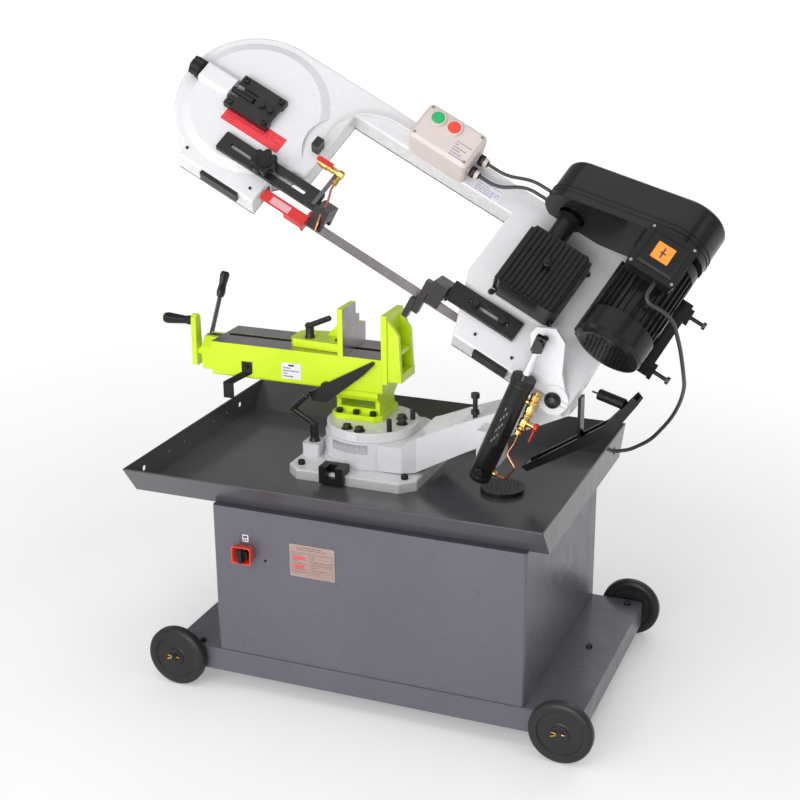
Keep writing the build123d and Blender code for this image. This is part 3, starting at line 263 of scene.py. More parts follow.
DARK_CHROME = material("dark_chrome", (0.2, 0.2, 0.21), 0.16, metallic=1.0, tint=(0.14, 0.14, 0.15),
                       bump=0.02, bevel=0.5)
ZINC = material("zinc", (0.56, 0.54, 0.5), 0.3, metallic=1.0, tint=(0.46, 0.44, 0.4), bevel=0.5)
BRASS = material("brass", (0.72, 0.47, 0.15), 0.24, metallic=1.0, tint=(0.55, 0.34, 0.1), bump=0.08, bevel=0.6)
COPPER = material("copper", (0.72, 0.3, 0.17), 0.24, metallic=1.0, tint=(0.55, 0.2, 0.11), bevel=0.4)
IRON = material("cast_iron", (0.2, 0.2, 0.21), 0.45, metallic=0.8, tint=(0.14, 0.14, 0.15), bump=0.2, grain=160)
RED = material("red_paint", (0.58, 0.009, 0.008), 0.3, tint=(0.6, 0.012, 0.01), bump=0.1, bevel=0.8, coat=0.2)
TANK = material("tank_plastic", (0.06, 0.06, 0.065), 0.4, tint=(0.08, 0.08, 0.085), bump=0.1)
RUBBER = material("tyre_rubber", (0.018, 0.017, 0.018), 0.36, tint=(0.026, 0.025, 0.026), bump=0.2,
                  bevel=1.5, dust=0.05, specular=0.25)
CABLE = material("cable_rubber", (0.03, 0.028, 0.029), 0.38, tint=(0.045, 0.042, 0.042), bump=0.05, bevel=0.3)
WHITE_CABLE = material("white_cable", (0.7, 0.69, 0.7), 0.4, tint=(0.62, 0.61, 0.62), bump=0.05, bevel=0.3)
METAL_LABEL = material("metal_label", (0.42, 0.3, 0.27), 0.34, metallic=0.6, tint=(0.36, 0.25, 0.22),
                       bevel=0.2, brushed=(1, 1, 12))


def plastic(name, colour, tint):
    return material(name, colour, 0.26, tint=tint, bump=0.05, bevel=1.0)


def label(name, colour, tint, rough=0.4):
    return material(name, colour, rough, tint=tint, bump=0.04, bevel=0.1)


def ink(name, colour, tint, rough=0.5):
    return material(name, colour, rough, tint=tint, bump=0.02, bevel=0.1)


RED_PLASTIC = plastic("red_plastic", (0.84, 0.06, 0.03), (0.76, 0.05, 0.025))
GREEN_PLASTIC = plastic("green_plastic", (0.01, 0.44, 0.13), (0.01, 0.38, 0.11))
RED_LABEL = label("red_label", (0.88, 0.05, 0.07), (0.8, 0.04, 0.06))
ORANGE_LABEL = label("orange_label", (0.95, 0.34, 0.04), (0.88, 0.3, 0.035), rough=0.42)
PINK_LABEL = label("pink_label", (0.74, 0.4, 0.42), (0.7, 0.34, 0.36))
SILVER_LABEL = label("silver_label", (0.5, 0.5, 0.53), (0.44, 0.44, 0.47))
WHITE_LABEL = label("white_label", (0.8, 0.79, 0.84), (0.74, 0.73, 0.78), rough=0.45)
RED_INK = ink("red_ink", (0.36, 0.012, 0.02), (0.42, 0.02, 0.03))
LABEL_INK = ink("label_ink", (0.16, 0.1, 0.09), (0.2, 0.13, 0.12), rough=0.45)
FAINT_INK = ink("faint_ink", (0.3, 0.29, 0.31), (0.2, 0.19, 0.21))
SOFT_INK = ink("soft_ink", (0.25, 0.24, 0.4), (0.3, 0.29, 0.45))
INK = ink("ink", (0.03, 0.03, 0.05), (0.06, 0.06, 0.08))

BED_PAINT = two_part("lime_with_steel_top_and_slot_shade", LIME, (0.5, 0.46, 0.46), "Z", 0.9, 0.97, (0.6435, 0.6465))
# painted shade darkening the inside of the bed's slot
paint_slot_shade(BED_PAINT, (0.0757, 0.0924), (0.612, 0.6447))
FIXED_PAINT = two_part("lime_with_steel_face", LIME, (0.34, 0.31, 0.31), "X", -0.9, -0.97)
MOVING_PAINT = two_part("lime_with_steel_front", LIME, (0.34, 0.31, 0.31), "X", 0.9, 0.97, (-0.146, -0.1435))
LEVER = banded("lever_with_grip", DARK_CHROME, (0.012, 0.011, 0.011), 0.7034)
ROD = banded("rod_with_eye", CHROME, (0.014, 0.013, 0.013), 0.7395)

LOOKS = {
    WHITE: "saw_base turntable_disc swivel_arm bow_casting",
    STAND: "base_pan cabinet",
    TRAY: "chip_tray",
    BED_PAINT: "vise_bed",
    FIXED_PAINT: "fixed_jaw",
    MOVING_PAINT: "vise_jaw",
    LIME: "vise_screw",
    BLACK_PAINT: "rear_cover motor_housing motor_plate damper_cylinder spring_bracket gearbox_housing",
    BLACK_STEEL: "vise_fasteners jaw_clamp_lever swivel_lock_lever hinge_pins drain_strainer left_guide_bar "
                 "bow_small_parts tension_slide left_guide_head right_guide vise_lever wheel_axles counter_spring",
    BLACK_PLASTIC: "isolator_knob crank_handle motor_covers guide_knob tension_knob",
    BELT_COVER: "belt_cover",
    BOX_GREY: "control_box",
    STEEL: "worm rotor",
    BLADE_STEEL: "saw_blade",
    LEVER: "quick_lever",
    ROD: "damper_rod",
    BRASS: "coolant_valve damper_plumbing",
    RED: "blade_guard damper_valve_handle coolant_lever",
    RED_PLASTIC: "stop_button",
    GREEN_PLASTIC: "start_button",
    RUBBER: "stand_wheel_front_left stand_wheel_front_right stand_wheel_rear_left stand_wheel_rear_right",
    CABLE: "v_belt control_cables sensor_cable supply_cable",
    IRON: "drive_wheel idler_wheel",
    TANK: "coolant_unit",
}
for look, names in LOOKS.items():
    for name in names.split():
        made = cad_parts[name]
        made.data.materials.clear()
        made.data.materials.append(look)

# ---------------------------------------------------------------- camera, light and world

AZIMUTH, ELEVATION, ROLL = math.radians(22.02), math.radians(19.15), math.radians(-0.44)
CAMERA_AT = CENTRE + Vector((1.11504, -2.66308, 1.56889))
LENS = 67.02

level_reach = math.cos(ELEVATION)
back = Vector((math.sin(AZIMUTH) * level_reach, -math.cos(AZIMUTH) * level_reach, math.sin(ELEVATION)))
right = Vector((math.cos(AZIMUTH), math.sin(AZIMUTH), 0))
above = back.cross(right)
right_rolled = math.cos(ROLL) * right + math.sin(ROLL) * above
above_rolled = math.cos(ROLL) * above - math.sin(ROLL) * right
camera_data = bpy.data.cameras.new("camera")
camera_data.lens = LENS
camera = bpy.data.objects.new("camera", camera_data)
spin = Matrix((right_rolled, above_rolled, back)).transposed().to_4x4()
camera.matrix_world = Matrix.Translation(CAMERA_AT) @ spin
bpy.context.scene.collection.objects.link(camera)
bpy.context.scene.camera = camera


def area_light(name, spot, target, size, power):
    light = bpy.data.lights.new(name, "AREA")
    light.shape = "RECTANGLE"
    light.size, light.size_y = size
    light.energy = power
    made = bpy.data.objects.new(name, light)
    made.location = spot
    made.rotation_euler = (Vector(target) - Vector(spot)).to_track_quat("-Z", "Y").to_euler()
    bpy.context.scene.collection.objects.link(made)


area_light("overhead", (0.3, -0.4, 3.6), (0, 0, 0.5), (3.4, 3.0), 25)
area_light("key_front", (-1.2, -3.7, 2.2), (0, 0, 0.6), (2.6, 2.0), 46)
area_light("fill_front", (0.4, -4.2, 1.0), (0.1, 0, 0.6), (2.8, 1.4), 78)
area_light("key_left", (-3.0, -1.2, 2.2), (0, 0, 0.7), (2.0, 2.0), 16)
area_light("fill_right", (3.2, -1.0, 2.0), (0.1, 0, 0.7), (1.6, 2.0), 7)
area_light("rear_rim", (0.9, 3.0, 2.4), (0, 0, 0.6), (3.0, 1.6), 20)

sky = bpy.data.worlds.new("studio")
sky.use_nodes = True
background = sky.node_tree.nodes["Background"]
background.inputs["Color"].default_value = (0.96, 0.965, 0.975, 1)
background.inputs["Strength"].default_value = 0.36
bpy.context.scene.world = sky
bpy.context.scene.view_settings.view_transform = "Standard"
bpy.context.scene.view_settings.look = "None"

# ---------------------------------------------------------------- mesh helpers

SHARP_ANGLE = math.radians(35)
HEAD_RIM = 1.4  # thickness of the washer under a hexagon head
MARK_THICKNESS = 0.12
RUN_SHARE = 0.45  # how much of the shorter run a rounded corner may take up
CURVE_STEPS = 8


def add(name, work, place, look, body, smooth=True):
    """Turns a bmesh drawn in millimetres in a frame into an object that rides a body."""
    bmesh.ops.transform(work, matrix=place, verts=work.verts)
    bmesh.ops.recalc_face_normals(work, faces=work.faces)
    mesh = bpy.data.meshes.new(name)
    work.to_mesh(mesh)
    work.free()
    made = bpy.data.objects.new(name, mesh)
    bpy.context.scene.collection.objects.link(made)
    mesh.materials.append(look)
    for face in mesh.polygons:
        face.use_smooth = smooth
    if smooth:
        mesh.set_sharp_from_angle(angle=SHARP_ANGLE)
    if body:
        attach(made, body)
    return made


def skin(work, rings):
    """Joins rings of points into one closed shell, capped at both ends."""
    for lower, upper in zip(rings, rings[1:]):
        for i in range(len(lower)):
            j = (i + 1) % len(lower)
            work.faces.new((lower[i], lower[j], upper[j], upper[i]))
    work.faces.new(list(reversed(rings[0])))
    work.faces.new(rings[-1])


def outline_mesh(work, points, low, high):
    """Adds a prism over an outline, from z low to high."""
    skin(work, [[work.verts.new((x, y, level)) for x, y in points] for level in (low, high)])


def lathe(work, profile, place=Matrix(), segments=48):
    """Adds a profile of (radius, height) turned about z."""
    rings = []
    for radius, height in profile:
        ring = []
        for i in range(segments):
            a = 2 * math.pi * i / segments
            ring.append(work.verts.new(place @ Vector((radius * math.cos(a), radius * math.sin(a), height))))
        rings.append(ring)
    skin(work, rings)


def rounded(x0, x1, y0, y1, radius, steps=6):
    """Outline of a rectangle with round corners."""
    points = []
    for cx, cy, start in ((x1 - radius, y1 - radius, 0), (x0 + radius, y1 - radius, 90),
                          (x0 + radius, y0 + radius, 180), (x1 - radius, y0 + radius, 270)):
        for i in range(steps + 1):
            a = math.radians(start + 90 * i / steps)
            points.append((cx + radius * math.cos(a), cy + radius * math.sin(a)))
    return points


def plate(name, x0, x1, y0, y1, low, high, radius, place, look, body):
    """A flat plate with round corners, as a piece of its own."""
    work = bmesh.new()
    outline_mesh(work, rounded(x0, x1, y0, y1, radius), low, high)
    return add(name, work, place, look, body)


def hex_nut(work, x, y, z, across, height):
    """Adds a hexagon with its upper rim chamfered, standing along z."""
    r = across / math.sqrt(3)
    lathe(work, [(r, z), (r, z + height * 0.78), (r * 0.88, z + height)], shift(x, y, 0), 6)


def hex_bolt(work, x, y, z, across, height):
    """Adds a hexagon head on its washer, standing along z."""
    lathe(work, [(across * 0.72, z), (across * 0.72, z + HEAD_RIM)], shift(x, y, 0), 32)
    hex_nut(work, x, y, z + HEAD_RIM, across, height)


def socket_head(work, x, y, z, radius, height):
    """Adds a round screw head with its socket, standing along z."""
    lathe(work, [(radius, z), (radius, z + height * 0.85), (radius * 0.9, z + height), (radius * 0.55, z + height),
                 (radius * 0.5, z + height * 0.45)], shift(x, y, 0), 28)


def bolts(name, spots, place, look, body, kind, size, height):
    """Screw heads of one kind at several points, as one piece. Size is across flats, or a diameter."""
    work = bmesh.new()
    for x, y, z in spots:
        if kind == "hex":
            hex_bolt(work, x, y, z, size, height)
        else:
            socket_head(work, x, y, z, size / 2, height)
    add(name, work, place, look, body)


def corners(x0, x1, y0, y1, z):
    """The four corners of a rectangle at one height."""
    return [(x0, y0, z), (x1, y0, z), (x1, y1, z), (x0, y1, z)]


def lines(name, rows, place, level, look, body):
    """Generic marks on a label: flat bars as (x0, x1, y0, y1)."""
    work = bmesh.new()
    for x0, x1, y0, y1 in rows:
        outline_mesh(work, [(x0, y0), (x1, y0), (x1, y1), (x0, y1)], level, level + MARK_THICKNESS)
    add(name, work, place, look, body, smooth=False)


def text_rows(x0, x1, y0, y1, count, fill=0.45, seed=1):
    """Rows of short bars that stand for small print."""
    rows = []
    pitch = (y1 - y0) / count
    state = seed
    for i in range(count):
        x = x0
        y = y1 - (i + 1) * pitch + pitch * (1 - fill) / 2
        while x < x1 - 2:
            state = (state * 1103515245 + 12345) % 2 ** 31
            width = min(x1 - x, (x1 - x0) * (0.06 + 0.16 * (state % 1000) / 1000))
            rows.append((x, x + width, y, y + pitch * fill))
            x += width + (x1 - x0) * 0.03
            if state % 5 == 0:
                break
    return rows


def tube_points(points, radius):
    """Corners replaced by short curves, as a polyline close enough to read as round."""
    points = [Vector(p) for p in points]
    path = [points[0]]
    for before, corner, after in zip(points, points[1:], points[2:]):
        first, second = corner - before, after - corner
        half = first.angle(second) / 2
        reach = min(radius * math.tan(half), RUN_SHARE * min(first.length, second.length))
        start, end = corner - first.normalized() * reach, corner + second.normalized() * reach
        for i in range(CURVE_STEPS + 1):
            t = i / CURVE_STEPS
            path.append((1 - t) ** 2 * start + 2 * t * (1 - t) * corner + t * t * end)
    path.append(points[-1])
    return path


def tube(work, points, radius, bend=10, sides=16):
    """Adds a closed tube along points with rounded corners."""
    path = tube_points(points, bend)
    clean = [path[0]]
    for p in path[1:]:
        if (p - clean[-1]).length > 0.05:
            clean.append(p)
    tangent = (clean[1] - clean[0]).normalized()
    side = tangent.orthogonal().normalized()
    rings = []
    for i, p in enumerate(clean):
        here = (clean[min(i + 1, len(clean) - 1)] - clean[max(i - 1, 0)]).normalized()
        side = (side - here * side.dot(here)).normalized()
        other = here.cross(side)
        ring = []
        for k in range(sides):
            a = 2 * math.pi * k / sides
            ring.append(work.verts.new(p + radius * (math.cos(a) * side + math.sin(a) * other)))
        rings.append(ring)
    skin(work, rings)


# ---------------------------------------------------------------- cords

LARGEST_BEND = 400.0
ARC_STEPS = 12


def cord_path(points):
    """The CAD cord's line: straight runs joined by the same tangent arcs."""
    points = [Vector(p) for p in points]
    path = [points[0]]
    for before, corner, after in zip(points, points[1:], points[2:]):
        first, second = corner - before, after - corner
        half = first.angle(second) / 2
        radius = min(LARGEST_BEND, RUN_SHARE * min(first.length, second.length) / math.tan(half))
        reach = radius * math.tan(half)
        start = corner - first.normalized() * reach
        inward = (second.normalized() - first.normalized()).normalized()
        centre = corner + inward * (radius / math.cos(half))
        u, v = start - centre, first.normalized() * radius
        for i in range(ARC_STEPS + 1):
            a = 2 * half * i / ARC_STEPS
            path.append(centre + u * math.cos(a) + v * math.sin(a))
    path.append(points[-1])
    return path


def laid_cord(name, points, diameter, place, look, body):
    """A cord through points in a frame, as a smooth round curve with its real length."""
    path = [place @ p for p in cord_path(points)]
    curve = bpy.data.curves.new(name, "CURVE")
    curve.dimensions = "3D"
    curve.bevel_depth = diameter * MM / 2
    curve.bevel_resolution = 6
    curve.use_fill_caps = True
    curve.resolution_u = 3
    spline = curve.splines.new("NURBS")
    spline.points.add(len(path) - 1)
    for spot, p in zip(spline.points, path):
        spot.co = (*p, 1)
    spline.order_u = 3
    spline.use_endpoint_u = True
    made = bpy.data.objects.new(name, curve)
    bpy.context.scene.collection.objects.link(made)
    curve.materials.append(look)
    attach(made, body)
    return made


# two cables from the control box to the belt cover
COVER_U = 208.0  # where the cables meet the cover
upper_cable = laid_cord("upper_cable", [(68, 290, 52), (112, 290, 52), (166, 302.5, 72), (COVER_U, 302.5, 72)],
                        7, BOW, CABLE, "bow")
laid_cord("lower_cable", [(68, 258, 52), (112, 258, 52), (160, 288, 62), (COVER_U + 0.3, 288, 62)],
          7, BOW, CABLE, "bow")
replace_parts(upper_cable, "control_cables")

# one from the control box to the gland on the left lobe
sensor_points = [(-96, 262, 52), (-148, 262, 52), (-204, 238, 52), (-232, 194, 52), (-232, 141, 52)]
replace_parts(laid_cord("sensor_lead", sensor_points, 6, BOW, WHITE_CABLE, "bow"), "sensor_cable")

# one from the motor's terminal box down to the tray's cable hole
TO_DRAWING = WORLD.inverted() @ BOW
supply_points = [TO_DRAWING @ Vector((486, 176, 230)), TO_DRAWING @ Vector((486, 134, 230))] + [
    (600, -70, 822), (608, -20, 748), (606, 32, 688), (600, 86, 640), (584, 140, 590), (558, 186, 534),
    (512, 212, 472), (468, 214, 444), (439, 211, 438)]
supply = laid_cord("supply_lead", supply_points, 8, WORLD, CABLE, "stand")
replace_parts(supply, "supply_cable")

# ---------------------------------------------------------------- stand details

# x and z of the drawing, standing out of the cabinet's front
FRONT = WORLD @ Matrix(((1, 0, 0, 0), (0, 0, -1, -277), (0, 1, 0, 0), (0, 0, 0, 1)))
plate("nameplate", -86, 11, 281, 350, 0.05, 1.0, 2, FRONT, METAL_LABEL, "stand")
lines("nameplate_print", text_rows(-70, -6, 338, 347, 2, 0.45, 7) + text_rows(-79, -48, 289, 331, 7, 0.28, 3)
      + text_rows(-40, 5, 289, 331, 7, 0.28, 11), FRONT, 1.0, LABEL_INK, "stand")
lines("nameplate_rules", [(-82, 7, 333, 334)] + [(-82, 7, 288 + 6 * i, 288.6 + 6 * i) for i in range(8)]
      + [(-44, -43.4, 286, 333), (-82, -81.4, 286, 333), (6.4, 7, 286, 333)], FRONT, 1.0, LABEL_INK, "stand")
lines("nameplate_red", [(-76, -52, 319, 324), (-76, -56, 301, 306)], FRONT, 1.15, RED_LABEL, "stand")
bolts("nameplate_rivets", corners(-82, 7, 284, 347, 1.0), FRONT, ZINC, "stand", "socket", 4, 1)

# square shroud round the isolator's knob, with its tag
ISOLATOR_X, ISOLATOR_Z = -182, 316
SHROUD = ((17, 14, 0.2), (18, 15, 4), (21, 18, 24), (19, 16, 24), (14.5, 13, 9), (14.5, 13, 0.4))
work = bmesh.new()
rings = []
for half_x, half_y, level in SHROUD:
    ring = rounded(ISOLATOR_X - half_x, ISOLATOR_X + half_x, ISOLATOR_Z - half_y, ISOLATOR_Z + half_y, 3.5, 4)
    rings.append([work.verts.new((x, y, level)) for x, y in ring])
skin(work, rings)
add("isolator_shroud", work, FRONT, RED_PLASTIC, "stand")
plate("isolator_tag", -189, -176, 337, 352, 0.1, 0.6, 1, FRONT, WHITE_LABEL, "stand")
lines("isolator_tag_print", [(-187, -178, 345, 350), (-187, -183, 339, 343), (-181, -178, 339, 343)],
      FRONT, 0.6, INK, "stand")

# rolled hem along the tray's rim
RIM = corners(-435.4, 435.4, -306.2, 306.2, 466.0)
work = bmesh.new()
for a, b in zip(RIM, RIM[1:] + RIM[:1]):
    tube(work, [a, b], 1.9, sides=12)
add("tray_hem", work, WORLD, TRAY, "stand")

# screws in the pan, split pins through the wheel bolts, screws in the cast foot
PAN_SPOTS = ((-300, -262), (60, -262), (440, -262), (452, 0), (480, 215), (-300, 220))
bolts("pan_bolts", [(x, y, 86.6) for x, y in PAN_SPOTS], WORLD, BLACK_STEEL, "stand", "hex", 10, 5)
AXLE_Z = 63.5
work = bmesh.new()
for x in (-341.4, 478.3):
    for y in (-312, 270):
        tube(work, [(x - 16, y, AXLE_Z - 4), (x - 5, y, AXLE_Z), (x + 12, y, AXLE_Z + 3)], 1.5, bend=4, sides=10)
        tube(work, [(x - 15, y, AXLE_Z + 5), (x - 5, y, AXLE_Z + 2.5), (x + 12, y, AXLE_Z + 3)], 1.3, bend=4,
             sides=10)
add("split_pins", work, WORLD, BRASS, "stand")
bolts("foot_bolts", corners(-155, 75, -70, 154, 430), WORLD, BLACK_STEEL, "stand", "socket", 15, 9)

# ---------------------------------------------------------------- vise details

# x and z of the drawing, standing out of the bed's front, then y and z out of the fixed jaw's back
BED_FRONT = WORLD @ Matrix(((1, 0, 0, 0), (0, 0, -1, 18), (0, 1, 0, 0), (0, 0, 0, 1)))
plate("bed_label", -238, -193, 581, 616, 0.05, 0.6, 2, BED_FRONT, WHITE_LABEL, "stand")
lines("bed_label_print", text_rows(-234, -197, 584, 608, 4, 0.35, 5) + [(-222, -209, 609, 613)],
      BED_FRONT, 0.6, INK, "stand")
JAW_BACK = WORLD @ Matrix(((0, 0, 1, 4), (1, 0, 0, 0), (0, 1, 0, 0), (0, 0, 0, 1)))
bolts("fixed_jaw_bolts", [(48, 630, 0), (48, 694, 0), (36, 640, 0)], JAW_BACK, BLACK_STEEL, "stand", "hex", 13, 7)

# folded bracket on the bed's front, with its screw
work = bmesh.new()
outline_mesh(work, [(-332, 608), (-308, 608), (-308, 584), (-332, 584)], 0.1, 3)
add("bed_bracket_top", work, BED_FRONT, BLACK_PAINT, "stand")
HALF_SHEET = 1.3
FOLD_TOP = [Vector(p) for p in ((-332, 18, 584), (-308, 18, 584), (-340, -10, 566), (-364, -10, 566))]
FOLD_FOOT = [Vector(p) for p in ((-364, -10, 566), (-340, -10, 566), (-340, -10, 532), (-364, -10, 532))]
work = bmesh.new()
for panel in (FOLD_TOP, FOLD_FOOT):
    step = (panel[1] - panel[0]).cross(panel[2] - panel[0]).normalized() * HALF_SHEET
    skin(work, [[work.verts.new(p + way * step) for p in panel] for way in (-1, 1)])
add("bed_bracket_fold", work, WORLD, BLACK_PAINT, "stand", smooth=False)
bolts("bed_bracket_screw", [(-320, 597, 3)], BED_FRONT, BLACK_STEEL, "stand", "socket", 9, 4)

# screws on the disc and the jaw's foot, and the label that the swivel scale is read against
bolts("disc_bolts", [(-66, -34, 508), (-36, -40, 508), (18, 60, 508), (30, 30, 508)], WORLD, BLACK_STEEL,
      "stand", "hex", 17, 8)
bolts("tall_bolts", [(22, -20, 508), (40, 66, 508)], WORLD, BLACK_STEEL, "stand", "socket", 11, 26)
bolts("jaw_foot_screws", [(-150, 104, 663.4), (-128, 60, 663.4)], WORLD, BLACK_STEEL, "jaw", "socket", 8, 3)
SWIVEL = WORLD @ shift(-40, 42, 0)
plate("pointer_label", -12, 12, 489.5, 505, 97.2, 97.8, 1, SWIVEL @ turn(-4, "Z") @ turn(90, "X"),
      WHITE_LABEL, "stand")

# ---------------------------------------------------------------- swivel details

# strip round the swivel's drum, with its marks standing a little proud of it
STRIP_INNER, STRIP_OUTER = 100.1, 100.6
MARK_INNER, MARK_OUTER, MARK_HALF = 100.5, 100.8, 0.35
STRIP_LOW, STRIP_HIGH = 464, 484
STEPS = 24


def polar(radius, degrees, aside=0.0):
    """A point at a radius and an angle, moved aside at right angles to the radius."""
    c, s = math.cos(math.radians(degrees)), math.sin(math.radians(degrees))
    return radius * c - aside * s, radius * s + aside * c


angles = [236 + 50 * i / STEPS for i in range(STEPS + 1)]
work = bmesh.new()
outline_mesh(work, [polar(STRIP_INNER, a) for a in angles] + [polar(STRIP_OUTER, a) for a in reversed(angles)],
             STRIP_LOW, STRIP_HIGH)
add("scale_strip", work, SWIVEL, SILVER_LABEL, "swivel")
work = bmesh.new()
for i in range(STEPS + 1):
    a = 238 + 46 * i / STEPS
    tall = 11 if i % 4 == 0 else 6
    outline_mesh(work, [polar(MARK_INNER, a, -MARK_HALF), polar(MARK_INNER, a, MARK_HALF),
                        polar(MARK_OUTER, a, MARK_HALF), polar(MARK_OUTER, a, -MARK_HALF)],
                 STRIP_HIGH - tall, STRIP_HIGH - 0.5)
add("scale_marks", work, SWIVEL, INK, "swivel", smooth=False)

# ---------------------------------------------------------------- damper plumbing

PIPE_X = 35  # where the valve and its pipe run, beside the cylinder
COLLARS = ((108, 178, 7), (112, 118, 9.5), (140, 146, 9), (168, 176, 9), (178, 190, 9.5), (190, 193, 6))
work = bmesh.new()
for low, high, radius in COLLARS:
    lathe(work, [(radius * 0.92, low), (radius, low + 1), (radius, high - 1), (radius * 0.92, high)],
          shift(PIPE_X, 0, 0), 40)
hex_nut(work, PIPE_X, 0, 120, 17, 14)
hex_nut(work, PIPE_X, 0, 150, 16, 12)
lathe(work, [(5.5, 0), (5.5, 13)], shift(22, 0, 168) @ turn(90, "Y"), 32)
lathe(work, [(6.5, 0), (6.5, 8), (5.4, 9), (5.4, 20)], shift(PIPE_X, 0, 128) @ turn(90, "Y"), 32)
brass_valve = add("brass_valve", work, DAMPER, BRASS, "damper")
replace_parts(brass_valve, "damper_plumbing")
work = bmesh.new()
tube(work, [(PIPE_X, 0, 112), (PIPE_X, 0, 78), (PIPE_X - 4, -4, 52), (PIPE_X + 22, -8, 36),
            (PIPE_X + 14, -6, 4), (PIPE_X - 6, 0, 0), (20, 0, 0)], 2.6, bend=9)
add("copper_pipe", work, DAMPER, COPPER, "damper")
work = bmesh.new()
hex_nut(work, PIPE_X - 3, 0, 98, 11, 9)
lathe(work, [(6, 0), (6, 6), (4, 9)], shift(22, 0, 0) @ turn(90, "Y"), 24)
add("pipe_nuts", work, DAMPER, BRASS, "damper")

# collars and label of the cylinder
work = bmesh.new()
for level in (-20, 190):
    lathe(work, [(22.3, level), (22.8, level + 2), (22.8, level + 5), (22.3, level + 7)])
add("damper_rings", work, DAMPER, BLACK_STEEL, "damper")
plate("damper_label", -7, 9, 64, 152, 22.1, 22.3, 2, DAMPER @ turn(90, "X"), BLACK_PLASTIC, "damper")
lines("damper_label_print", [(-5 + 3 * (i % 3), -3.4 + 3 * (i % 3), 68 + 8 * i, 74 + 8 * i) for i in range(10)],
      DAMPER @ turn(90, "X"), 22.35, FAINT_INK, "damper")

# ---------------------------------------------------------------- bow details

# labels on the casting, the control box and the terminal box, with the screws of both boxes
BORDER = [(-428, -293, 71.6, 72.2), (-428, -293, 104.8, 105.4),
          (-428.6, -428, 71.6, 105.4), (-293, -292.4, 71.6, 105.4)]
plate("red_label", -430, -291, 70, 107, 38.02, 38.5, 2, BOW, RED_LABEL, "bow")
lines("red_label_print", text_rows(-424, -297, 74, 103, 5, 0.3, 13) + BORDER, BOW, 38.5, RED_INK, "bow")
plate("spine_label", 66, 126, 238, 268, 30.02, 30.4, 1, BOW, WHITE_LABEL, "bow")
lines("spine_label_print", text_rows(69, 123, 240, 266, 5, 0.35, 17), BOW, 30.4, SOFT_INK, "bow")
lines("box_label_print", text_rows(2, 38, 238, 276, 6, 0.35, 23), BOW, 101.05, SOFT_INK, "bow")
plate("terminal_label", 452, 488, 204, 240, 254.3, 254.8, 2, BOW, ORANGE_LABEL, "bow")
lines("terminal_mark", [(468, 471, 211, 233), (464, 476, 220, 223)], BOW, 254.8, INK, "bow")
bolts("terminal_screws", corners(428, 514, 180, 262, 248.3), BOW, ZINC, "bow", "socket", 6, 3)
bolts("box_screws", corners(-78, 38, 242, 308, 99), BOW, BLACK_STEEL, "bow", "socket", 6, 2.4)

# screws of the gearbox, the right guide, the lobes and the tension rails
bolts("gearbox_bolts", corners(222.5, 355.5, 72, 212, 32.2), BOW, BLACK_STEEL, "bow", "hex", 9, 5)
work = bmesh.new()
lathe(work, [(7, 0), (7, 3), (9, 4), (9, 9), (6, 11)], shift(290, 150, 108), 28)
add("gearbox_breather", work, BOW, BLACK_PLASTIC, "bow")
bolts("right_guide_bolts", [(214, 29, 40), (276, 29, 40)], BOW, BLACK_STEEL, "bow", "hex", 14, 8)
bolts("lobe_bolts", [(u, -20, 30) for u in (-290, -445, 330, 246)], BOW, BLACK_STEEL, "bow", "socket", 6, 3)
bolts("rail_screws", corners(-430, -346, 104.5, 162.5, 54), BOW, BLACK_STEEL, "bow", "socket", 9, 5)

# gland nuts on the control box
work = bmesh.new()
for v in (258, 290):
    lathe(work, [(10.5, 48), (11.5, 50), (11.5, 58), (10, 60)], shift(0, v, 52) @ turn(90, "Y"), 6)
    lathe(work, [(8.5, 60), (8.5, 64), (6, 70), (4, 70)], shift(0, v, 52) @ turn(90, "Y"), 32)
lathe(work, [(10.5, -90), (11.5, -92), (11.5, -86), (10.5, -85)], shift(0, 262, 52) @ turn(90, "Y"), 6)
add("gland_nuts", work, BOW, BLACK_PLASTIC, "bow")

# guide bearings: two on either side of the blade and one on its back, at each guide
for side, u, body in (("left", -140, "guide"), ("right", 140, "bow")):
    work = bmesh.new()
    for y in (-8.9, 8.9):
        lathe(work, [(5, 0.8), (8.15, 0.9), (8.15, 9.6), (5, 9.7)], shift(u, y, 0), 40)
    lathe(work, [(5, -5.3), (9.15, -5.2), (9.15, 4.9), (5, 5.1)], shift(u, 0, 19.4) @ turn(90, "X"), 40)
    add(f"{side}_guide_bearings", work, BLADE, STEEL, body)

# coolant tap on its post, with the nozzle pipe
plate("tap_post", -166, -158, 16, 106, 48.5, 53, 1, BOW, IRON, "guide")
work = bmesh.new()
lathe(work, [(5, -206), (7, -204), (7, -199), (8.5, -198), (8.5, -184), (7, -183), (7, -168), (6, -167),
             (6, -150)], shift(0, 97, 58) @ turn(90, "Y"), 36)
lathe(work, [(5, 58), (5, 66), (3.6, 67), (3.6, 71)], shift(-178, 97, 0), 28)
lathe(work, [(8.5, -158), (8.5, -148), (7.5, -147)], shift(0, 97, 58) @ turn(90, "Y"), 6)
lathe(work, [(5, -92), (5, -80), (6, -79), (6, -72)], shift(-152, 0, 58) @ turn(90, "X"), 28)
tap = add("coolant_tap", work, BOW, BRASS, "guide")
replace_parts(tap, "coolant_valve")
work = bmesh.new()
tube(work, [(-152, 76, 58), (-150, 60, 57), (-143, 40, 50), (-139, 12, 47), (-134, -8, 40), (-132, -20, 30)],
     2.4, bend=14)
add("nozzle_pipe", work, BOW, COPPER, "guide")
plate("guard_label", -240, -196, -24, -8, 34.02, 34.3, 1, BOW, PINK_LABEL, "guide")

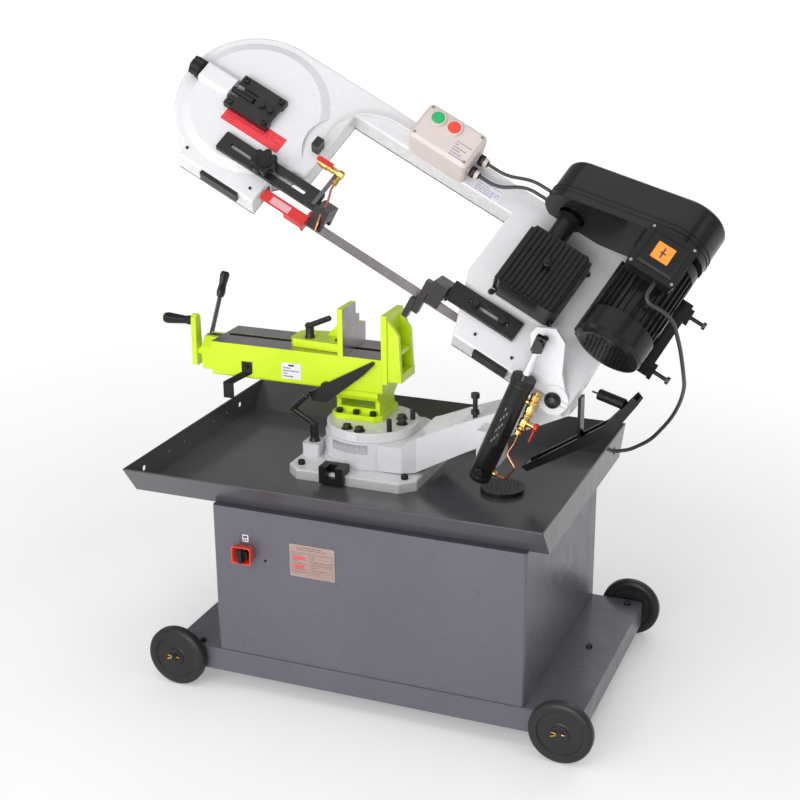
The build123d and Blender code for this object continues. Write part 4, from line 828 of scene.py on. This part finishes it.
# scale and screws on the tension rails, with the slide's own screws
plate("tension_scale", -410, -352, 163, 172, 38.1, 46, 1, BOW, ZINC, "bow")
lines("tension_scale_marks", [(-406 + 6 * i, -405 + 6 * i, 164, 170) for i in range(9)], BOW, 46.05, INK, "bow")
bolts("slide_screws", [(-372, 133.5, 54), (-352, 133.5, 54)], BOW, BLACK_STEEL, "bow", "hex", 13, 6)

# cap of the guide's clamp knob
work = bmesh.new()
lathe(work, [(17, 72.9), (17, 74.5), (13, 75.6), (12, 74.2), (7, 74.2), (6.4, 76)], shift(-289, 29, 0), 48)
add("clamp_knob_cap", work, BOW, BLACK_PLASTIC, "guide_clamp")

# nameplate and foot bolts of the motor, and the two screws of the belt cover
plate("motor_nameplate", -22, 22, -14, 14, 63.7, 64.4, 2,
      BOW @ shift(478, 150, 150) @ turn(-90, "X") @ turn(90, "Y"), METAL_LABEL, "bow")
bolts("motor_foot_bolts", corners(430, 526, 135, 210, 96), BOW, ZINC, "bow", "hex", 13, 7)
for name, u, w in (("belt_cover_screws", 270, 72), ("belt_cover_screw_motor", 478, 150)):
    bolts(name, [(u, 0, 0)], BOW @ shift(0, 376, w) @ turn(-90, "X"), ZINC, "bow", "socket", 12, 5)

# ---------------------------------------------------------------- floor

FLOOR_HALF = 60000
FLOOR = material("floor_paint", (0.9, 0.9, 0.905), 0.6, tint=(0.885, 0.885, 0.89), spots=0.6, grain=30, bump=0.02,
                 bevel=0.1)

# a pale floor that glows more with the distance from the middle, in metres
tree = FLOOR.node_tree
shader = tree.nodes["Principled BSDF"]
distance = node(tree, "ShaderNodeVectorMath", operation="LENGTH")
tree.links.new(node(tree, "ShaderNodeTexCoord").outputs["Object"], distance.inputs[0])
shader.inputs["Emission Color"].default_value = (1, 1, 1, 1)
tree.links.new(spread(tree, distance.outputs["Value"], 0.22, 0.72, 1.0, 4.0), shader.inputs["Emission Strength"])
work = bmesh.new()
outline_mesh(work, [p[:2] for p in corners(-FLOOR_HALF, FLOOR_HALF, -FLOOR_HALF, FLOOR_HALF, 0)], -20, -0.2)
add("floor", work, WORLD, FLOOR, None, smooth=False)
